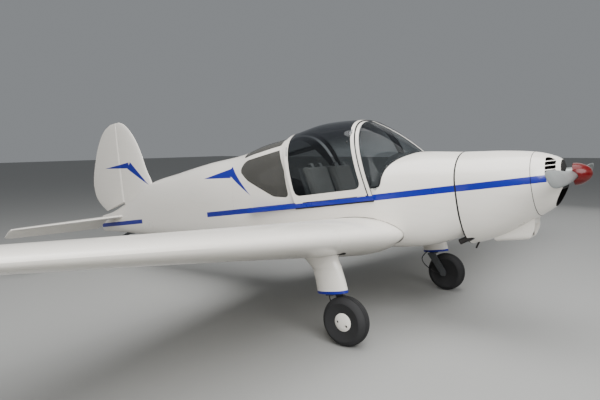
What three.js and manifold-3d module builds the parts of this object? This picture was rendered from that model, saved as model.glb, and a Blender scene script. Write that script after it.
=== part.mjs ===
import * as THREE from 'three';
import { mergeVertices } from 'three/addons/utils/BufferGeometryUtils.js';
import Module from 'manifold-3d';

// A two-seat low-wing light trainer with an inverted in-line engine, standing on its tail wheel.
// Sizes are in millimetres. Level coordinates have x forward, y to port and z up, with the
// fuselage's reference line level and the origin on the ground midway between the main wheels.
// The whole aircraft then stands nose-up by PITCH, as it does on its three wheels.

const PITCH = THREE.MathUtils.degToRad(8.1);
const CENTRE_SHIFT = 1794;
const SEAT = 0.5;
const RUN = 6;

// Fuselage and canopy.
const WAIST_Z = 1190;
const FIREWALL_X = 800;
const DECK_END_X = 50;
const PANEL_X = 192;
const CABIN_END_X = -1750;
const TAIL_END_X = -4880;
const TUB_WALL = 25;
const CANOPY_WALL = 12;
const GLASS = 5;
const HOOD_BASE_Z = 1215;
const HOOD_FRONT = { x: 50, rake: 0.255 };
const HOOD_REAR = { x: -795, rake: 0.235 };
const HOOD_SEAM = 8;
const ARCH_WIDTH = 34;
const RAIL_Y = 520;
const RAIL_WIDTH = 24;
const RAIL_TOP_Z = 1207;
const RAIL_HEIGHT = 42;

// Engine, cowl and propeller.
const COWL_RING_X = 1405;
const NOSE_X = 1604;
const THRUST_Z = 1190;
const SHAFT_RADIUS = 30;
const PROP_X = 1672;
const PROP_RADIUS = 900;
const SPINNER_X = 1680;
const SPINNER_LENGTH = 132;
const SPINNER_RADIUS = 92;

// Wing.
const WING_FLAT_Y = 500;
const WING_JOIN_Y = 1380;
const WING_CABIN_Y = 435;
const WING_TUB_GAP = 4;
const WING_TIP_Y = 5280;
const WING_TIP_ROUND = 420;
const WING_HINGE = 0.76;
const FLAP_SPAN = [640, 2500];
const AILERON_SPAN = [2512, 4800];

// Tail.
const RUDDER_HINGE_X = -4285;
const ELEVATOR_HINGE_X = -4590;
const TAILPLANE_Z = 1290;
const TAILPLANE_HALF = 1550;
const ELEVATOR_GAP = 130;
const ELEVATOR_DROOP = THREE.MathUtils.degToRad(28);

// Undercarriage.
const WHEEL_Y = 1095;
const WHEEL_RADIUS = 210;
const TYRE_WIDTH = 150;
const RIM_RADIUS = 86;
const AXLE_RADIUS = 16;
const TAIL_WHEEL_X = -4750;
const TAIL_WHEEL_RADIUS = 100;
const TAIL_TYRE_WIDTH = 58;
const TAIL_PIVOT_X = -4690;

const wasm = await Module();
wasm.setup();

const aircraft = new THREE.Group();
const level = new THREE.Group();
level.rotation.y = -PITCH;
const ground = new THREE.Group();
aircraft.add(level, ground);
aircraft.position.x = CENTRE_SHIFT;

const look = (colour, roughness, metalness = 0, opacity = 1) => ({
  color: colour,
  roughness,
  metalness,
  opacity,
  transparent: opacity < 1,
});
const LOOKS = {
  cream: look(0xe9e6dc, 0.32),
  blue: look(0x2344a8, 0.3),
  red: look(0xb01c2a, 0.3),
  glass: look(0x9fb0b4, 0.08, 0, 0.4),
  tyre: look(0x2b2c2b, 0.85),
  steel: look(0x6f7274, 0.45, 0.8),
  soot: look(0x2c2622, 0.8, 0.4),
  iron: look(0x4a4c4d, 0.6, 0.6),
  blade: look(0xb9bcb8, 0.35),
  panel: look(0x26292b, 0.6),
  seat: look(0xb8b6ae, 0.8),
};

// Turns a closed geometry into a solid that can be joined and cut.
const solid = (geometry) => {
  const bare = geometry.clone();
  bare.deleteAttribute('normal');
  bare.deleteAttribute('uv');
  const merged = mergeVertices(bare, 1e-3);
  return new wasm.Manifold(
    new wasm.Mesh({
      numProp: 3,
      vertProperties: new Float32Array(merged.attributes.position.array),
      triVerts: new Uint32Array(merged.index.array),
    }),
  );
};

const geometryOf = (body) => {
  const mesh = body.getMesh();
  const geometry = new THREE.BufferGeometry();
  geometry.setAttribute('position', new THREE.BufferAttribute(mesh.vertProperties, 3));
  geometry.setIndex(new THREE.BufferAttribute(mesh.triVerts, 1));
  geometry.computeVertexNormals();
  return geometry;
};

// A cut may leave slivers, so only the largest body of a solid is kept, and points that lie
// within a hair of each other become one.
const largest = (body) => {
  const bodies = body.decompose();
  bodies.sort((a, b) => b.volume() - a.volume());
  return solid(geometryOf(bodies[0]));
};

const mirrored = (body) => {
  const geometry = geometryOf(body);
  geometry.scale(1, -1, 1);
  const index = geometry.index.array;
  for (let i = 0; i < index.length; i += 3) {
    [index[i], index[i + 1]] = [index[i + 1], index[i]];
  }
  return solid(geometry);
};

const TIDY = 0.15;
const tidied = (body) => largest(body.simplify(TIDY));
const show = (name, body, finish, group) => {
  const geometry = geometryOf(body);
  const mesh = new THREE.Mesh(geometry, new THREE.MeshStandardMaterial(LOOKS[finish]));
  mesh.name = name;
  group.add(mesh);
};
const place = (name, body, finish, group = level) => show(name, tidied(body), finish, group);

const placePair = (name, portBody, finish, group = level) => {
  const port = tidied(portBody);
  show(`${name}_left`, port, finish, group);
  show(`${name}_right`, mirrored(port), finish, group);
};

const vec = (x, y, z) => new THREE.Vector3(x, y, z);

// Joins rows of points into a closed mesh. Each triangle list is flipped if it faces inwards.
const closedMesh = (positions, index) => {
  let volume = 0;
  const [a, b, c] = [vec(), vec(), vec()];
  for (let i = 0; i < index.length; i += 3) {
    a.fromArray(positions, 3 * index[i]);
    b.fromArray(positions, 3 * index[i + 1]);
    c.fromArray(positions, 3 * index[i + 2]);
    volume += a.dot(b.cross(c));
  }
  const facing = volume < 0 ? index.reverse() : index;
  const geometry = new THREE.BufferGeometry();
  geometry.setAttribute('position', new THREE.Float32BufferAttribute(positions, 3));
  geometry.setIndex(facing);
  return solid(geometry);
};

// A body through closed rings of equally many points, with a fan over each end.
const loft = (rings) => {
  const count = rings[0].length;
  const positions = rings.flatMap((ring) => ring.flatMap((point) => point.toArray()));
  const index = [];
  for (let i = 0; i < rings.length - 1; i += 1) {
    for (let j = 0; j < count; j += 1) {
      const a = i * count + j;
      const b = i * count + ((j + 1) % count);
      index.push(a, a + count, b, b, a + count, b + count);
    }
  }
  [0, rings.length - 1].forEach((row) => {
    const centre = rings[row].reduce((sum, p) => sum.add(p), vec(0, 0, 0)).divideScalar(count);
    const hub = positions.length / 3;
    positions.push(centre.x, centre.y, centre.z);
    for (let j = 0; j < count; j += 1) {
      const a = row * count + j;
      const b = row * count + ((j + 1) % count);
      index.push(...(row === 0 ? [hub, a, b] : [hub, b, a]));
    }
  });
  return closedMesh(positions, index);
};

// A curved sheet between an outer and an inner grid of points, closed along its four edges.
const sheet = (outer, inner) => {
  const rows = outer.length;
  const columns = outer[0].length;
  const positions = [...outer, ...inner].flatMap((row) => row.flatMap((p) => p.toArray()));
  const at = (side, i, j) => (side * rows + i) * columns + j;
  const index = [];
  const quad = (a, b, c, d) => index.push(a, b, c, a, c, d);
  for (let i = 0; i < rows - 1; i += 1) {
    for (let j = 0; j < columns - 1; j += 1) {
      quad(at(0, i, j), at(0, i, j + 1), at(0, i + 1, j + 1), at(0, i + 1, j));
      quad(at(1, i, j), at(1, i + 1, j), at(1, i + 1, j + 1), at(1, i, j + 1));
    }
  }
  for (let i = 0; i < rows - 1; i += 1) {
    quad(at(0, i, 0), at(0, i + 1, 0), at(1, i + 1, 0), at(1, i, 0));
    const j = columns - 1;
    quad(at(0, i + 1, j), at(0, i, j), at(1, i, j), at(1, i + 1, j));
  }
  for (let j = 0; j < columns - 1; j += 1) {
    quad(at(0, 0, j + 1), at(0, 0, j), at(1, 0, j), at(1, 0, j + 1));
    const i = rows - 1;
    quad(at(0, i, j), at(0, i, j + 1), at(1, i, j + 1), at(1, i, j));
  }
  return closedMesh(positions, index);
};

// Reads a table whose first column is a station, with a smooth curve through the others.
const smooth = (table) => {
  const stations = table.map((row) => row[0]);
  const values = table.flatMap((row) => row.slice(1));
  const curve = new THREE.CubicInterpolant(stations, values, table[0].length - 1);
  return (station) => Array.from(curve.evaluate(station));
};

const range = (from, to, steps) =>
  Array.from({ length: steps + 1 }, (_, i) => from + ((to - from) * i) / steps);

const power = (value, exponent) => Math.sign(value) * Math.abs(value) ** exponent;

// One point of a rounded section: a quarter oval above the waist and another below it.
const sectionPoint = (x, [half, waist, top, low, nTop, nLow], angle, inset = 0) => {
  const up = Math.sin(angle) >= 0;
  const n = up ? nTop : nLow;
  const height = (up ? top - waist : waist - low) - inset;
  return vec(
    x,
    (half - inset) * power(Math.cos(angle), 2 / n),
    waist + height * power(Math.sin(angle), 2 / n),
  );
};

// A body through sections at fixed stations, so that inset copies of it stay parallel to it. It
// is cut off at the given ends.
const FAR = 3000;
const sectionBody = ({ rowAt, stations, count }, from, to, inset = 0) =>
  loft(
    stations.map((x) =>
      Array.from({ length: count }, (_, i) =>
        sectionPoint(x, rowAt(x), (2 * Math.PI * i) / count, inset),
      ),
    ),
  ).intersect(block([from, to], [-FAR, FAR], [-FAR, FAR]));

// A closed outline with its corners rounded, where a corner may carry its own radius.
const roundedShape = (points, radius) => {
  const shape = new THREE.Shape();
  points.forEach(([x, y, own = radius], i) => {
    const corner = new THREE.Vector2(x, y);
    const [before, after] = [points.at(i - 1), points[(i + 1) % points.length]].map(([px, py]) => {
      const side = new THREE.Vector2(px, py).sub(corner);
      return side.setLength(Math.min(own, 0.45 * side.length())).add(corner);
    });
    if (i === 0) shape.moveTo(before.x, before.y);
    else shape.lineTo(before.x, before.y);
    if (own > 0) shape.quadraticCurveTo(x, y, after.x, after.y);
  });
  shape.closePath();
  return shape;
};

const extruded = (shape, depth, curveSegments = 3) =>
  new THREE.ExtrudeGeometry(shape, { depth, bevelEnabled: false, curveSegments });

// Extrudes an outline seen from the side, given as x and z, between two values of y.
const sideSlab = (points, y0, y1, radius = 0) => {
  const geometry = extruded(roundedShape(points, radius), y1 - y0);
  geometry.rotateX(Math.PI / 2);
  geometry.translate(0, y1, 0);
  return solid(geometry);
};

// Extrudes an outline seen from above, given as x and y, between two values of z.
const planSlab = (points, z0, z1, radius = 0) => {
  const geometry = extruded(roundedShape(points, radius), z1 - z0);
  geometry.translate(0, 0, z0);
  return solid(geometry);
};

const block = ([x0, x1], [y0, y1], [z0, z1]) => {
  const geometry = new THREE.BoxGeometry(x1 - x0, y1 - y0, z1 - z0);
  geometry.translate((x0 + x1) / 2, (y0 + y1) / 2, (z0 + z1) / 2);
  return solid(geometry);
};

const rod = (from, to, radius, endRadius = radius, segments = 14) => {
  const axis = to.clone().sub(from);
  const geometry = new THREE.CylinderGeometry(endRadius, radius, axis.length(), segments);
  const turn = new THREE.Quaternion().setFromUnitVectors(vec(0, 1, 0), axis.clone().normalize());
  geometry.applyQuaternion(turn);
  geometry.translate(...from.clone().add(to).divideScalar(2).toArray());
  return solid(geometry);
};

// A turned body about the y axis. The profile lists radius and y.
const turnedAboutY = (profile, segments, phase = 0) => {
  const points = profile.map(([r, y]) => new THREE.Vector2(r, y));
  const geometry = new THREE.LatheGeometry(points, segments);
  geometry.rotateY(phase);
  return geometry;
};

// Fuselage sections. Columns: station x, half width, waist z, top z, bottom z, upper and lower
// exponent of the rounding.
const hullRow = smooth([
  [-4880, 28, 1215, 1332, 1100, 1.6, 2.4],
  [-4600, 62, 1210, 1372, 1075, 1.5, 2.6],
  [-4285, 105, 1200, 1462, 1045, 1.5, 2.8],
  [-3640, 185, 1190, 1690, 975, 1.7, 3.0],
  [-3000, 262, 1190, 1762, 900, 2.1, 3.0],
  [-2400, 332, 1190, 1812, 830, 2.4, 3.0],
  [-1750, 408, 1190, 1843, 755, 2.35, 3.0],
  [-1450, 438, 1190, 1896, 739, 2.42, 2.95],
  [-1150, 466, 1190, 1917, 730, 2.5, 2.9],
  [-880, 488, 1190, 1920, 727, 2.6, 2.9],
  [-500, 506, 1190, 1930, 715, 2.6, 2.9],
  [-200, 507, 1190, 1662, 700, 2.2, 3.05],
  [50, 504, 1190, 1590, 682, 2.2, 3.2],
  [450, 428, 1193, 1552, 684, 2.2, 3.6],
  [800, 354, 1200, 1498, 753, 2.0, 3.2],
]);

const HULL = {
  rowAt: hullRow,
  stations: [
    -4880, -4600, -4285, -3640, -3000, -2400, -1750, -1450, -1150, -880, -500, 50, 250, 450, 620, 800,
  ],
  count: 24,
};

// Canopy sections, with the same columns.
const canopyRow = smooth([
  [-1300, 515, 1190, 1870, 700, 2.8, 2],
  [-1000, 522, 1190, 1940, 700, 2.8, 2],
  [-800, 527, 1190, 1974, 700, 2.8, 2],
  [-600, 531, 1190, 1997, 700, 2.73, 2],
  [-400, 533, 1190, 1991, 700, 2.66, 2],
  [-230, 534, 1190, 1972, 700, 2.6, 2],
  [-100, 534, 1190, 1948, 700, 2.56, 2],
  [60, 534, 1190, 1925, 700, 2.5, 2],
  [160, 533, 1190, 1901, 700, 2.5, 2],
]);

const CANOPY = {
  rowAt: canopyRow,
  stations: [-1300, -1000, -800, -600, -400, -230, -100, 60, 160],
  count: 24,
};

// Cowl sections, with the same columns.
const cowlRow = smooth([
  [800, 356, 1200, 1499, 668, 2.0, 2.6],
  [951, 350, 1200, 1482, 695, 2.0, 2.6],
  [1166, 322, 1190, 1456, 765, 2.0, 2.5],
  [1405, 268, 1170, 1413, 878, 2.1, 2.4],
  [1480, 246, 1165, 1390, 918, 2.2, 2.3],
  [1540, 214, 1162, 1364, 955, 2.3, 2.2],
  [1575, 182, 1160, 1345, 985, 2.3, 2.2],
  [1605, 138, 1158, 1322, 1020, 2.3, 2.2],
]);
const COWL = {
  rowAt: cowlRow,
  stations: [800, 980, 1200, 1405, 1500, 1565, 1605],
  count: 24,
};

// Planes across the canopy that lean aft as they rise, and the side view strip between two.
const shifted = (plane, distance) => ({ ...plane, x: plane.x + distance });
const planePoint = (plane, z) => [plane.x - plane.rake * (z - HOOD_BASE_Z), z];
const rakedStrip = (front, rear, z0, z1) => [
  planePoint(front, z0),
  planePoint(rear, z0),
  planePoint(rear, z1),
  planePoint(front, z1),
];

// Wing geometry, worked out at any distance y from the centre line.
const WING = {
  nose: 305,
  sweep: 0.049,
  noseZ: 835,
  dihedral: Math.tan(THREE.MathUtils.degToRad(5.9)),
  chord: [1950, 850],
  thickness: [0.19, 0.085],
  underSeats: 0.15,
  incidence: [3, 1],
  camber: 0.02,
};
const wingAt = (y) => {
  const out = Math.max(Math.abs(y) - WING_FLAT_Y, 0);
  const s = out / (WING_TIP_Y - WING_FLAT_Y);
  const mix = ([a, b]) => a + (b - a) * s;
  const fullChord = mix(WING.chord);
  const intoTip = Math.max(Math.abs(y) - (WING_TIP_Y - WING_TIP_ROUND), 0) / WING_TIP_ROUND;
  const chord = fullChord * Math.sqrt(1 - intoTip ** 2);
  return {
    y,
    nose: WING.nose - WING.sweep * out - 0.42 * (fullChord - chord),
    noseZ: WING.noseZ + WING.dihedral * out,
    chord,
    thickness: Math.abs(y) > WING_CABIN_Y ? mix(WING.thickness) : WING.underSeats,
    incidence: THREE.MathUtils.degToRad(mix(WING.incidence)),
    camber: WING.camber,
  };
};

// Half thickness of an aerofoil at a fraction of its chord, for unit chord.
const aerofoilHalf = (u, thickness) =>
  5 * thickness *
  (0.2969 * Math.sqrt(u) - 0.126 * u - 0.3516 * u ** 2 + 0.2843 * u ** 3 - 0.1015 * u ** 4);

const CAMBER_PEAK = 0.4;
const camberAt = (u, camber) =>
  u < CAMBER_PEAK
    ? (camber / CAMBER_PEAK ** 2) * (2 * CAMBER_PEAK * u - u ** 2)
    : (camber / (1 - CAMBER_PEAK) ** 2) * (1 - 2 * CAMBER_PEAK + 2 * CAMBER_PEAK * u - u ** 2);

const EDGE_HALF = 2;

// A point of a wing section: u along the chord, side +1 above, -1 below and 0 on the mean line.
const wingPoint = (w, u, side, grow = 0) => {
  const along = w.chord * u + grow * (2 * u - 1);
  const half = w.chord * aerofoilHalf(u, w.thickness) + EDGE_HALF * u + grow;
  const up = w.chord * camberAt(u, w.camber) + side * half;
  const [c, s] = [Math.cos(w.incidence), Math.sin(w.incidence)];
  return vec(w.nose - along * c - up * s, w.y, w.noseZ + up * c - along * s);
};

const CHORD_STEPS = 8;
const chordFractions = range(0, Math.PI, CHORD_STEPS).map((a) => (1 - Math.cos(a)) / 2);
const sectionRing = (w, grow = 0) => [
  ...chordFractions.map((u) => wingPoint(w, u, Math.sign(u), grow)),
  ...chordFractions.slice(1).reverse().map((u) => wingPoint(w, u, -1, grow)),
];
const wingLoft = (stations, grow = 0) => loft(stations.map((y) => sectionRing(wingAt(y), grow)));

// Splits a lifting surface at a hinge line into a fixed and a moving part. The moving part has a
// round nose on the hinge line, and thin arms of the fixed part reach the line through slots in it.
const NOSE_SEGMENTS = 14;
const ARM = { thick: 12, slack: 0.4, radius: 0.45, root: 26 };
const splitAtHinge = ({ body, from, to, noses, reach, arms, forward, openEnds = [0, 0] }) => {
  const along = to.clone().sub(from);
  const length = along.length();
  along.normalize();
  const up = forward.clone().cross(along).normalize();
  const ahead = along.clone().cross(up).normalize();
  const frame = new THREE.Matrix4().makeBasis(ahead, along, up).setPosition(from);
  const local = (geometry) => solid(geometry.applyMatrix4(frame));
  const boxIn = ([x0, x1], [y0, y1], half) => {
    const geometry = new THREE.BoxGeometry(x1 - x0, y1 - y0, 2 * half);
    geometry.translate((x0 + x1) / 2, (y0 + y1) / 2, 0);
    return local(geometry);
  };
  const turnedIn = (profile, segments = NOSE_SEGMENTS) => {
    const [first, last] = [profile[0], profile.at(-1)];
    const closed = [[first[0], 0], ...profile, [last[0], 0]];
    return local(new THREE.LatheGeometry(closed.map(([y, r]) => new THREE.Vector2(r, y)), segments));
  };
  const tall = 400;
  const [open0, open1] = openEnds;
  const aft = boxIn([-reach, 0], [-open0, length + open1], tall);
  const noseProfile = noses.map(([fraction, radius]) => [fraction * length, radius]);
  const noseAt = (y) => {
    const i = Math.max(noseProfile.findLastIndex(([at]) => at <= y), 0);
    const [[y0, r0], [y1, r1]] = [noseProfile[i], noseProfile[i + 1] ?? noseProfile[i]];
    return y1 > y0 ? r0 + ((r1 - r0) * (y - y0)) / (y1 - y0) : r0;
  };
  const [noseFrom, noseTo] = [noseAt(0), noseAt(length)];
  const nose = turnedIn(noseProfile);
  const room = (radius) => (radius + RUN) / Math.cos(Math.PI / NOSE_SEGMENTS);
  const run = turnedIn([
    [-RUN, room(noseFrom)],
    ...noseProfile.map(([y, radius]) => [y, room(radius)]),
    [length + RUN, room(noseTo)],
  ]);
  const beside = [
    [-RUN - open0, 0, noseFrom, open0],
    [length, length + RUN + open1, noseTo, open1],
  ];
  const tool = beside.reduce(
    (sum, [y0, y1, radius, open]) =>
      sum.add(boxIn([-reach, open > 0 ? radius + RUN : 0], [y0, y1], tall)),
    run.add(boxIn([-reach, 0], [0, length], tall)),
  );
  let moving = body.intersect(aft).add(nose);
  const armBodies = arms.map((fraction) => {
    const y = fraction * length;
    const nearNose = noseAt(y);
    const hub = nearNose * ARM.radius;
    const half = ARM.thick / 2;
    const slot = half + ARM.slack;
    moving = moving.subtract(boxIn([-hub - RUN, nearNose + 4], [y - slot, y + slot], nearNose + 8));
    return boxIn([0, nearNose + RUN + ARM.root], [y - half, y + half], hub).add(
      turnedIn([[y - half, hub], [y + half, hub]], 10),
    );
  });
  const armsOf = (keep) => armBodies.filter((_, i) => keep(arms[i]));
  const fixed = (base, keep = () => true) =>
    armsOf(keep).reduce((sum, arm) => sum.add(arm), base.subtract(tool));
  return { moving, fixed };
};

// Turns a body about a hinge line by an angle.
const turnAbout = (body, origin, axis, angle) => {
  const geometry = geometryOf(body);
  geometry.translate(-origin.x, -origin.y, -origin.z);
  geometry.applyQuaternion(new THREE.Quaternion().setFromAxisAngle(axis, angle));
  geometry.translate(origin.x, origin.y, origin.z);
  return solid(geometry);
};

// Wing: a middle piece under the cabin, and an outer piece on each side with flap and aileron.
const tipStations = [4860, 5060, 5190, 5250, 5278];
const middleStations = [-WING_JOIN_Y, -WING_FLAT_Y, -WING_CABIN_Y, WING_CABIN_Y, WING_FLAT_Y, WING_JOIN_Y];
const middleWing = wingLoft(middleStations);
const wingUnderHull = wingLoft(middleStations, SEAT);
const outerWing = wingLoft([WING_JOIN_Y + SEAT, 3100, ...tipStations]);
const wholeHalfWing = wingLoft([WING_FLAT_Y, WING_JOIN_Y, 3100, ...tipStations]);

const hingePoint = (y) => wingPoint(wingAt(y), WING_HINGE, 0);
const hingeNose = (y) => {
  const w = wingAt(y);
  return w.chord * aerofoilHalf(WING_HINGE, w.thickness) + EDGE_HALF * WING_HINGE - 0.5;
};
const trailingSplit = ([y0, y1], arms) =>
  splitAtHinge({
    body: wholeHalfWing,
    from: hingePoint(y0),
    to: hingePoint(y1),
    noses: [
      [0, hingeNose(y0)],
      [1, hingeNose(y1)],
    ],
    reach: 620,
    arms,
    forward: vec(1, 0, 0),
  });

const flap = trailingSplit(FLAP_SPAN, [0.06, 0.55, 0.94]);
const aileron = trailingSplit(AILERON_SPAN, [0.08, 0.5, 0.92]);
const FLAP_ARM_BESIDE_JOIN = 0.3;
const outerFixed = aileron.fixed(flap.fixed(outerWing, (at) => at > FLAP_ARM_BESIDE_JOIN));
placePair('outer_wing', largest(outerFixed), 'cream');
placePair('aileron', largest(aileron.moving), 'cream');
placePair('flap', largest(flap.moving), 'cream');

const portHalf = block([-3000, 1000], [0, 2000], [0, 2000]);
const middlePort = flap.fixed(middleWing, (at) => at < FLAP_ARM_BESIDE_JOIN).intersect(portHalf);
place('middle_wing', largest(middlePort.add(mirrored(middlePort))), 'cream');

// Foot of the windscreen on the deck. Columns: section angle in degrees, x.
const PANE_FOOT = smooth([
  [6, 108],
  [12, 152],
  [24, 170],
  [38, 196],
  [55, 262],
  [71, 350],
  [90, 410],
]);
const paneFootX = (degrees) => PANE_FOOT(Math.min(degrees, 180 - degrees))[0];

// Fuselage tub: open above the waist behind the deck, closed by the engine bulkhead in front.
// Under the windscreen the deck is open too, from the instrument panel aft, but for a lip.
const cabinCut = block([CABIN_END_X - 100, DECK_END_X], [-700, 700], [WAIST_Z, 2300]);
const tubShell = sectionBody(HULL, CABIN_END_X, FIREWALL_X - SEAT).subtract(
  sectionBody(HULL, CABIN_END_X - 1, FIREWALL_X - 12, TUB_WALL),
);
const FOOT_LIP = 15;
const deckOpening = (inset) =>
  range(0, 1, 2).map((share) =>
    range(10, 170, 16).map((degrees) => {
      const front = Math.min(paneFootX(degrees) - FOOT_LIP, PANEL_X - 2);
      const x = DECK_END_X - 5 + (front - DECK_END_X + 5) * share;
      return sectionPoint(x, hullRow(x), THREE.MathUtils.degToRad(degrees), inset);
    }),
  );
const deckCut = sheet(deckOpening(-30), deckOpening(2 * TUB_WALL));
const tubOpenings = [cabinCut, deckCut, wingLoft(middleStations, WING_TUB_GAP)];
const tub = largest(tubOpenings.reduce((shell, cut) => shell.subtract(cut), tubShell));
place('fuselage_tub', tub, 'cream');

// Rear fuselage, with the tailplane and the elevator's tube passing through it.
const TAIL = { nose: -4257, sweep: 0.147, rootChord: 640, tipChord: 330, thickness: 0.09 };
const tailplaneAt = (y) => {
  const s = Math.abs(y) / TAILPLANE_HALF;
  const round = 150;
  const intoTip = Math.max(Math.abs(y) - (TAILPLANE_HALF - round), 0) / round;
  const fullChord = TAIL.rootChord + (TAIL.tipChord - TAIL.rootChord) * s;
  const chord = fullChord * Math.sqrt(1 - 0.75 * intoTip ** 2);
  return {
    y,
    nose: TAIL.nose - TAIL.sweep * Math.abs(y) - 0.75 * (fullChord - chord),
    noseZ: TAILPLANE_Z,
    chord,
    thickness: TAIL.thickness,
    incidence: 0,
    camber: 0,
  };
};
const tailStations = [-1546, -1500, -1400, 0, 1400, 1500, 1546];
const tailplaneBody = loft(tailStations.map((y) => sectionRing(tailplaneAt(y))));
const tailplaneSocket = loft([-300, 0, 300].map((y) => sectionRing(tailplaneAt(y), SEAT))).intersect(
  block([ELEVATOR_HINGE_X - 4, -4200], [-300, 300], [1200, 1400]),
);
const elevatorNose = (y) => {
  const w = tailplaneAt(y);
  const u = (w.nose - ELEVATOR_HINGE_X) / w.chord;
  return w.chord * aerofoilHalf(u, w.thickness) + EDGE_HALF * u - 0.5;
};
const elevatorEnds = [ELEVATOR_GAP, TAILPLANE_HALF - 155];
const elevatorSplit = splitAtHinge({
  body: tailplaneBody,
  from: vec(ELEVATOR_HINGE_X, elevatorEnds[0], TAILPLANE_Z),
  to: vec(ELEVATOR_HINGE_X, elevatorEnds[1], TAILPLANE_Z),
  noses: elevatorEnds.map((y, i) => [i, elevatorNose(y)]),
  reach: 500,
  arms: [0.12, 0.9],
  forward: vec(1, 0, 0),
  openEnds: [0, 200],
});
const TUBE_RADIUS = 13;
const tailplaneFixedPort = elevatorSplit
  .fixed(tailplaneBody)
  .intersect(block([-5000, -4000], [0, 2000], [1000, 1600]));
const tubeRoom = rod(
  vec(ELEVATOR_HINGE_X, -200, TAILPLANE_Z),
  vec(ELEVATOR_HINGE_X, 200, TAILPLANE_Z),
  TUBE_RADIUS + RUN,
);
const behindTube = block([-5100, ELEVATOR_HINGE_X], [-ELEVATOR_GAP - RUN, ELEVATOR_GAP + RUN], [1200, 1400]);
const tailplane = largest(
  tailplaneFixedPort.add(mirrored(tailplaneFixedPort)).subtract(tubeRoom).subtract(behindTube),
);
place('tailplane', tailplane, 'cream');

const halfElevator = largest(elevatorSplit.moving);
const elevatorTube = rod(
  vec(ELEVATOR_HINGE_X, -ELEVATOR_GAP - 30, TAILPLANE_Z),
  vec(ELEVATOR_HINGE_X, ELEVATOR_GAP + 30, TAILPLANE_Z),
  TUBE_RADIUS,
);
const elevator = halfElevator.add(mirrored(halfElevator)).add(elevatorTube);
const drooped = turnAbout(
  elevator,
  vec(ELEVATOR_HINGE_X, 0, TAILPLANE_Z),
  vec(0, 1, 0),
  -ELEVATOR_DROOP,
);
place('elevator', largest(drooped), 'cream');

const rearHull = sectionBody(HULL, TAIL_END_X, CABIN_END_X - SEAT);
const rearFuselage = largest(rearHull.subtract(tailplaneSocket).subtract(tubeRoom));
place('rear_fuselage', rearFuselage, 'cream');

// Fin and rudder, sliced by height. Columns: z, front x, rear x, thickness.
const UPRIGHT = [
  [1300, -3480, -4640, 118],
  [1400, -3520, -4752, 108],
  [1500, -3562, -4880, 98],
  [1640, -3610, -4984, 88],
  [1760, -3650, -5004, 80],
  [1860, -3700, -5003, 75],
  [2180, -3803, -4882, 60],
  [2400, -3914, -4752, 48],
  [2540, -4030, -4622, 35],
  [2610, -4122, -4505, 24],
  [2640, -4205, -4400, 12],
];
const uprightAt = smooth(UPRIGHT);
const uprightPoint = (z, u, side) => {
  const [front, rear, thick] = uprightAt(z);
  const chord = front - rear;
  const half = chord * aerofoilHalf(u, thick / chord) + EDGE_HALF * u;
  return vec(front - chord * u, side * half, z);
};
const uprightRing = (z) => [
  ...chordFractions.map((u) => uprightPoint(z, u, 1)),
  ...chordFractions.slice(1).reverse().map((u) => uprightPoint(z, u, -1)),
];
const uprightLevels = [1300, 1400, 1500, 1640, 1780, 1880, 2020, 2180, 2380, 2500, 2590, 2640];
const uprightBody = loft(uprightLevels.map(uprightRing));
const rudderNose = (z) => {
  const [front, rear, thick] = uprightAt(z);
  const chord = front - rear;
  return chord * aerofoilHalf((front - RUDDER_HINGE_X) / chord, thick / chord) - 0.5;
};
const RUDDER_BASE = { z: 1486, slope: 0.2 };
const RUDDER_TOP_Z = 2600;
const rudderLevels = [
  RUDDER_BASE.z,
  ...uprightLevels.filter((z) => z > RUDDER_BASE.z + 20 && z < RUDDER_TOP_Z - 20),
  RUDDER_TOP_Z,
];
const rudderSplit = splitAtHinge({
  body: uprightBody,
  from: vec(RUDDER_HINGE_X, 0, RUDDER_BASE.z),
  to: vec(RUDDER_HINGE_X, 0, RUDDER_TOP_Z),
  noses: rudderLevels.map((z) => [
    (z - RUDDER_BASE.z) / (RUDDER_TOP_Z - RUDDER_BASE.z),
    rudderNose(z),
  ]),
  reach: 900,
  arms: [0.12, 0.5, 0.86],
  forward: vec(1, 0, 0),
  openEnds: [200, 60],
});
const underRudder = sideSlab(
  [
    [-5200, 1200],
    [RUDDER_HINGE_X + 120, 1200],
    [RUDDER_HINGE_X + 120, RUDDER_BASE.z],
    [RUDDER_HINGE_X, RUDDER_BASE.z],
    [-5200, RUDDER_BASE.z - RUDDER_BASE.slope * (5200 + RUDDER_HINGE_X)],
  ],
  -300,
  300,
);
place('rudder', largest(rudderSplit.moving.subtract(underRudder)), 'cream');
const hullGrown = sectionBody(HULL, TAIL_END_X, FIREWALL_X, -SEAT);
place('fin', largest(rudderSplit.fixed(uprightBody).subtract(hullGrown)), 'cream');

// Fixed part of the canopy behind the sliding hood: a hollow shell with two windows a side.
const fixedFront = shifted(HOOD_REAR, -HOOD_SEAM);
const aftRegion = sideSlab(
  [
    planePoint(fixedFront, WAIST_Z + SEAT),
    [CABIN_END_X, WAIST_Z + SEAT],
    [CABIN_END_X, 2000],
    planePoint(fixedFront, 2000),
  ],
  -700,
  700,
);
const AFT_WINDOW = [
  [-885, 1277, 65],
  [-1100, 1305],
  [-1500, 1515],
  [-1648, 1635, 60],
  [-1590, 1740, 60],
  [-1052, 1786, 10],
  [-938, 1570],
];
const AFT_STRIP = [
  [-1096, 100],
  [-1058, 282],
  [-1380, 272],
  [-1645, 242],
  [-1682, 108],
];
const EDGE_SLACK = 0.35;
const shrunk = (points, amount) => {
  const cx = points.reduce((sum, p) => sum + p[0], 0) / points.length;
  const cy = points.reduce((sum, p) => sum + p[1], 0) / points.length;
  return points.map(([x, y, r]) => [
    x + Math.sign(cx - x) * amount,
    y + Math.sign(cy - y) * amount,
    ...(r === undefined ? [] : [r]),
  ]);
};
const shellOf = (form, from, to, outer, wall) =>
  sectionBody(form, from, to, outer).subtract(sectionBody(form, from - 1, to + 1, outer + wall));
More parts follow.
